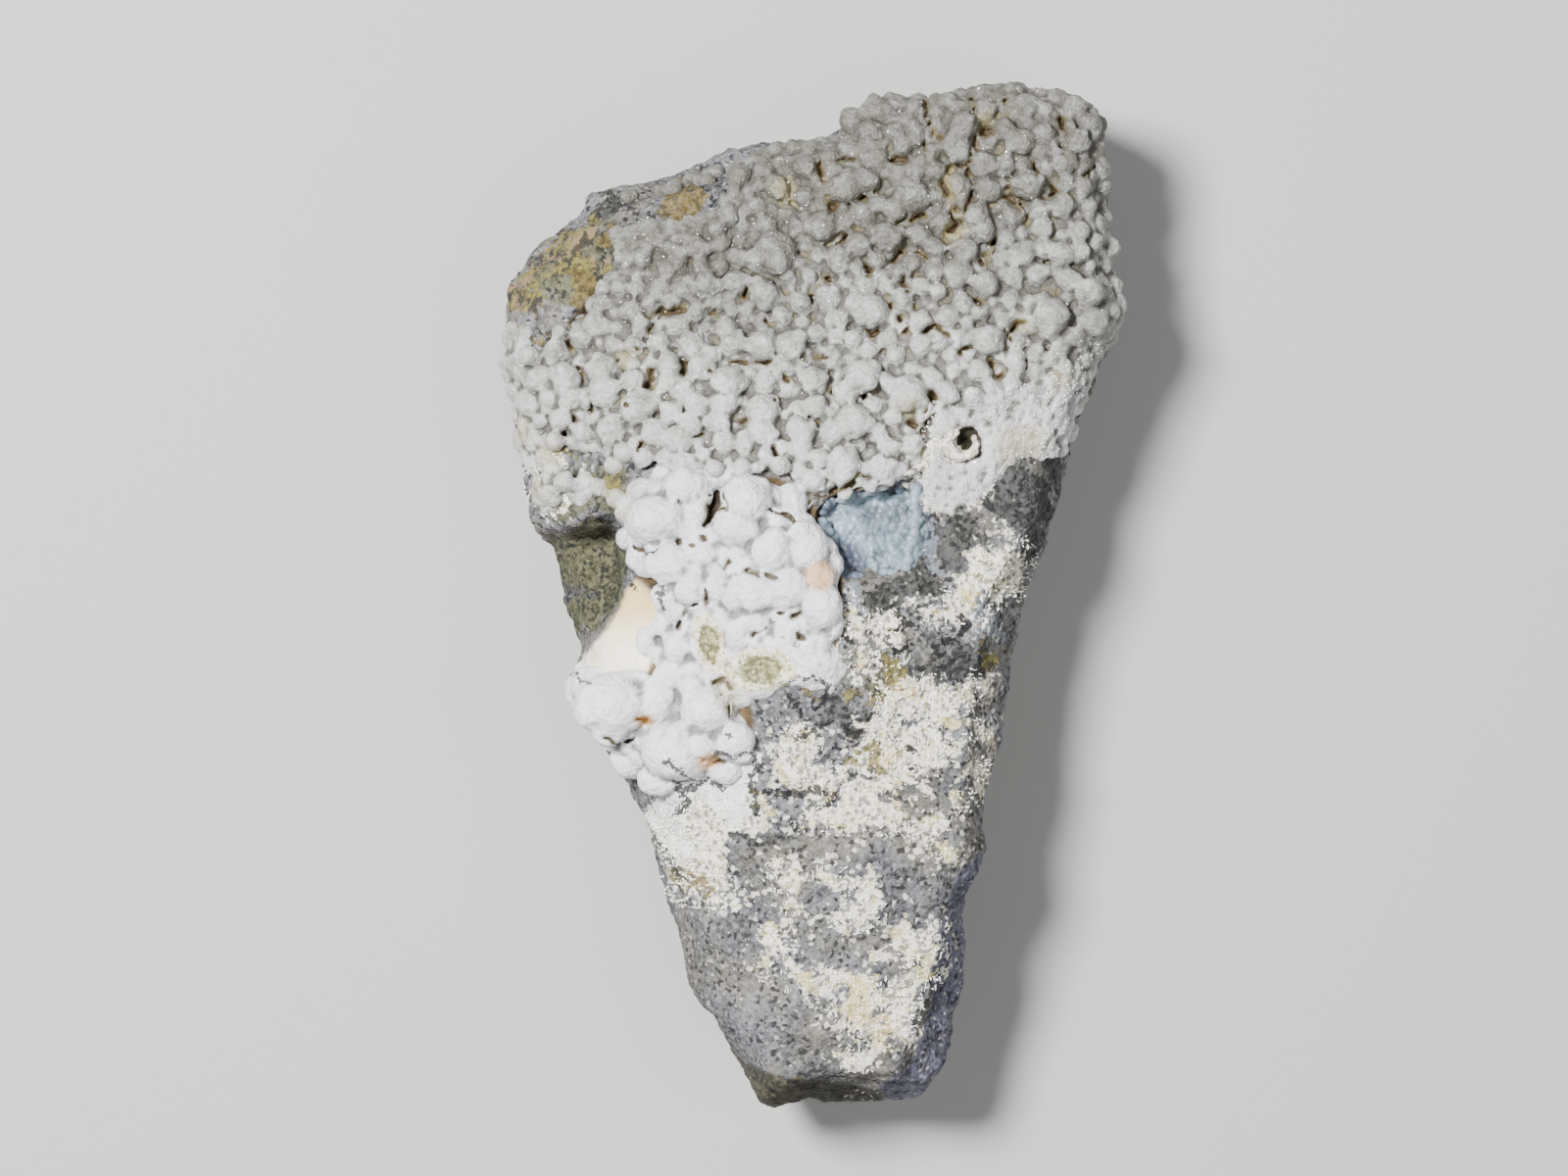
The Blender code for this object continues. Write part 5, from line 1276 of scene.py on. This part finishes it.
def surface_spots(name, count, dice, keep):
    """Random places on the upper side of a piece, with the way the surface faces there."""
    mesh = bpy.data.objects[name].data
    centres, facing = vectors(mesh.polygons, "center"), vectors(mesh.polygons, "normal")
    open_to_light = np.flatnonzero((facing[:, 2] > UPWARD) & keep(centres))
    chosen = [open_to_light[dice.randrange(len(open_to_light))] for _ in range(count)]
    return [(Vector(centres[i]), Vector(facing[i])) for i in chosen]


def standing(spot, lean, dice):
    """Where a crystal goes to stand on its spot, leaning at random."""
    place, facing = spot
    leaning = facing + Vector((dice.gauss(0, lean), dice.gauss(0, lean), dice.gauss(0, lean)))
    return Matrix.Translation(place) @ leaning.to_track_quat("Z", "X").to_matrix().to_4x4()


def build_points():
    """Quartz points strewn over the chalcedony, thickest on the right frost."""
    dice = random.Random(SEED + 4)

    def quartz_point(bm, spot):
        radius = dice.uniform(*POINT_RADII) / 1000
        place = standing(spot, POINT_LEAN, dice) @ Matrix.Rotation(dice.uniform(0, math.tau), 4, "Z")
        sizes = {"radius1": radius, "radius2": radius * 0.15, "depth": radius * 1.8}
        bmesh.ops.create_cone(bm, cap_ends=True, segments=6, matrix=place, **sizes)

    def above_base(centres):
        return centres[:, 2] > CLEAR_OF_FLOOR

    def on_right_frost(centres):
        return within(centres[:, :2] * 1000, RIGHT_FROST) > 0

    spots = []
    for name in [part[0] for part in CRUST_PARTS] + ["shoulder_nodules"]:
        spots += surface_spots(name, POINTS_EACH, dice, above_base)
    spots += surface_spots("crust_right", POINTS_ON_FROST, dice, on_right_frost)
    hand_over(joined(spots, quartz_point), "quartz_points", quartz_points_material())


def build_tablets():
    """Clinoptilolite tablets on the pale patches of the bare rock."""
    dice = random.Random(SEED + 5)

    def tablet(bm, spot):
        width = dice.uniform(*TABLET_WIDTHS) / 1000
        place = standing(spot, TABLET_LEAN, dice) @ Matrix.Diagonal((width, width * 0.35, width * 1.3, 1))
        bmesh.ops.create_cube(bm, size=1, matrix=place)

    def on_pale(centres):
        xy = centres[:, :2] * 1000
        off_hole = ellipse_share(xy, HOLE) > 1.5
        return (patch(xy, PALE) > -0.3) & (centres[:, 2] > CLEAR_OF_FLOOR) & off_hole

    spots = surface_spots("host_rock", TABLET_COUNT, dice, on_pale)
    hand_over(joined(spots, tablet), "clinoptilolite_tablets", tablet_material())


# Stage

CAMERA_SPOT = (-4.3, 1.3)  # the middle of the picture, in millimetres on the face
CAMERA_HEIGHT, FACE_LEVEL = 1.1, 0.042  # metres above the floor
PICTURE_WIDTH = 240.0  # millimetres of the face across the picture
SENSOR_WIDTH = 36  # millimetres
FLOOR_HALF_WIDTH = 2.0  # metres
SKY_COLOUR, SKY_STRENGTH = (0.8, 0.82, 0.85, 1), 0.22
LIGHT_AIM = (0, 0, 0.03)
# Name, place, diameter and share of the key light's power
LIGHTS = (("key", (-0.36, 0.22, 0.92), 0.25, 1.0), ("fill", (0.5, -0.3, 1.0), 0.9, 0.18))


def area_light(name, place, size, power):
    light = bpy.data.lights.new(name, "AREA")
    light.shape = "DISK"
    light.size = size
    light.energy = power
    lamp = bpy.data.objects.new(name, light)
    lamp.location = place
    aim = Vector(LIGHT_AIM) - Vector(place)
    lamp.rotation_euler = aim.to_track_quat("-Z", "Y").to_euler()
    bpy.context.scene.collection.objects.link(lamp)


def build_stage(settings):
    """A plain pale floor, soft light from the far left and the camera straight above the face."""
    bm = bmesh.new()
    bmesh.ops.create_grid(bm, x_segments=1, y_segments=1, size=FLOOR_HALF_WIDTH)
    mesh = bpy.data.meshes.new("floor")
    bm.to_mesh(mesh)
    bm.free()
    floor = bpy.data.objects.new("floor", mesh)
    paper = {"Base Color": (*settings.floor_colour, 1), "Roughness": 0.9}
    mesh.materials.append(new_material("matt_paper", paper)[0])
    bpy.context.scene.collection.objects.link(floor)
    for name, place, size, share in LIGHTS:
        area_light(name, place, size, settings.key_power * share)
    world = bpy.data.worlds.new("studio")
    world.use_nodes = True
    sky = world.node_tree.nodes["Background"]
    sky.inputs["Color"].default_value = SKY_COLOUR
    sky.inputs["Strength"].default_value = SKY_STRENGTH
    bpy.context.scene.world = world
    lens = bpy.data.cameras.new("camera")
    lens.sensor_width = SENSOR_WIDTH
    lens.lens = SENSOR_WIDTH * (CAMERA_HEIGHT - FACE_LEVEL) / (PICTURE_WIDTH / 1000)
    camera = bpy.data.objects.new("camera", lens)
    camera.location = (CAMERA_SPOT[0] / 1000, CAMERA_SPOT[1] / 1000, CAMERA_HEIGHT)
    bpy.context.scene.collection.objects.link(camera)
    bpy.context.scene.camera = camera


# Add-on

class SpecimenSettings(bpy.types.PropertyGroup):
    """Sizes and colours of the specimen."""

    rock_voxel: FloatProperty(
        name="Rock grain", description="Finest form modelled on the bare rock",
        default=0.00071, min=0.0003, unit="LENGTH",
    )
    crust_voxel: FloatProperty(
        name="Crust grain", description="Finest form modelled on the chalcedony lumps",
        default=0.00034, min=0.0002, unit="LENGTH",
    )
    bead_voxel: FloatProperty(
        name="Bead grain", description="Finest form modelled on the pocket's beads",
        default=0.00022, min=0.0001, unit="LENGTH",
    )
    skin_height: FloatProperty(
        name="Skin height", description="Unevenness of the lumps' sugary skin",
        default=0.00011, min=0.0, unit="LENGTH",
    )
    crust_colour: FloatVectorProperty(
        name="Crust", description="Lightest colour of the wide crust",
        default=linear("#D2D2D0"), subtype="COLOR", min=0, max=1,
    )
    shoulder_colour: FloatVectorProperty(
        name="Shoulder", description="Lightest colour of the big lumps",
        default=linear("#EEEEF2"), subtype="COLOR", min=0, max=1,
    )
    pocket_colour: FloatVectorProperty(
        name="Pocket", description="Colour of the beaded pocket lining",
        default=linear("#8A9BA6"), subtype="COLOR", min=0, max=1,
    )
    pale_colour: FloatVectorProperty(
        name="Pale patches", description="Colour of the clinoptilolite patches",
        default=linear("#FBF8EA"), subtype="COLOR", min=0, max=1,
    )
    clay_colour: FloatVectorProperty(
        name="Clay", description="Colour of the yellow clay",
        default=linear("#877E43"), subtype="COLOR", min=0, max=1,
    )
    floor_colour: FloatVectorProperty(
        name="Floor", description="Colour of the floor",
        default=linear("#AEAEAC"), subtype="COLOR", min=0, max=1,
    )
    key_power: FloatProperty(
        name="Key light", description="Power of the main light", default=31.0, min=0.0, unit="POWER",
    )


class SPECIMEN_OT_rock(bpy.types.Operator):
    """Build the grey rock with its patches"""

    bl_idname = "specimen.rock"
    bl_label = "Rock"

    def execute(self, context):
        build_rock(context.scene.specimen)
        return {"FINISHED"}


class SPECIMEN_OT_crust(bpy.types.Operator):
    """Build the wide chalcedony crust"""

    bl_idname = "specimen.crust"
    bl_label = "Crust"

    def execute(self, context):
        build_crust(context.scene.specimen)
        return {"FINISHED"}


class SPECIMEN_OT_shoulder(bpy.types.Operator):
    """Build the big white lumps and broken nodules"""

    bl_idname = "specimen.shoulder"
    bl_label = "Shoulder"

    def execute(self, context):
        build_shoulder(context.scene.specimen)
        return {"FINISHED"}


class SPECIMEN_OT_pocket(bpy.types.Operator):
    """Build the blue beaded pocket lining"""

    bl_idname = "specimen.pocket"
    bl_label = "Pocket"

    def execute(self, context):
        build_pocket(context.scene.specimen)
        return {"FINISHED"}


class SPECIMEN_OT_ring(bpy.types.Operator):
    """Build the hollow ring nodule"""

    bl_idname = "specimen.ring"
    bl_label = "Ring nodule"

    def execute(self, context):
        build_ring(context.scene.specimen)
        return {"FINISHED"}


class SPECIMEN_OT_points(bpy.types.Operator):
    """Strew quartz points over the chalcedony, which has to be built first"""

    bl_idname = "specimen.points"
    bl_label = "Quartz points"

    def execute(self, context):
        build_points()
        return {"FINISHED"}


class SPECIMEN_OT_tablets(bpy.types.Operator):
    """Strew clinoptilolite tablets over the rock, which has to be built first"""

    bl_idname = "specimen.tablets"
    bl_label = "Clinoptilolite tablets"

    def execute(self, context):
        build_tablets()
        return {"FINISHED"}


class SPECIMEN_OT_stage(bpy.types.Operator):
    """Build the floor, the lights and the camera"""

    bl_idname = "specimen.stage"
    bl_label = "Stage"

    def execute(self, context):
        build_stage(context.scene.specimen)
        return {"FINISHED"}


# In the order they run: the crystals need the pieces that they grow on
OPERATORS = (
    SPECIMEN_OT_rock, SPECIMEN_OT_crust, SPECIMEN_OT_shoulder, SPECIMEN_OT_pocket, SPECIMEN_OT_ring,
    SPECIMEN_OT_points, SPECIMEN_OT_tablets, SPECIMEN_OT_stage,
)


class SPECIMEN_PT_panel(bpy.types.Panel):
    """Lists the specimen's settings and pieces"""

    bl_idname = "SPECIMEN_PT_panel"
    bl_label = "Chalcedony specimen"
    bl_space_type = "VIEW_3D"
    bl_region_type = "UI"
    bl_category = "Specimen"

    def draw(self, context):
        column = self.layout.column()
        for name in SpecimenSettings.__annotations__:
            column.prop(context.scene.specimen, name)
        for operator in OPERATORS:
            column.operator(operator.bl_idname)


CLASSES = (SpecimenSettings, *OPERATORS, SPECIMEN_PT_panel)


def register():
    for item in CLASSES:
        bpy.utils.register_class(item)
    bpy.types.Scene.specimen = PointerProperty(type=SpecimenSettings)


def unregister():
    del bpy.types.Scene.specimen
    for item in reversed(CLASSES):
        bpy.utils.unregister_class(item)


def main():
    register()
    for operator in OPERATORS:
        getattr(bpy.ops.specimen, operator.bl_idname.split(".")[1])()


if __name__ == "__main__":
    main()
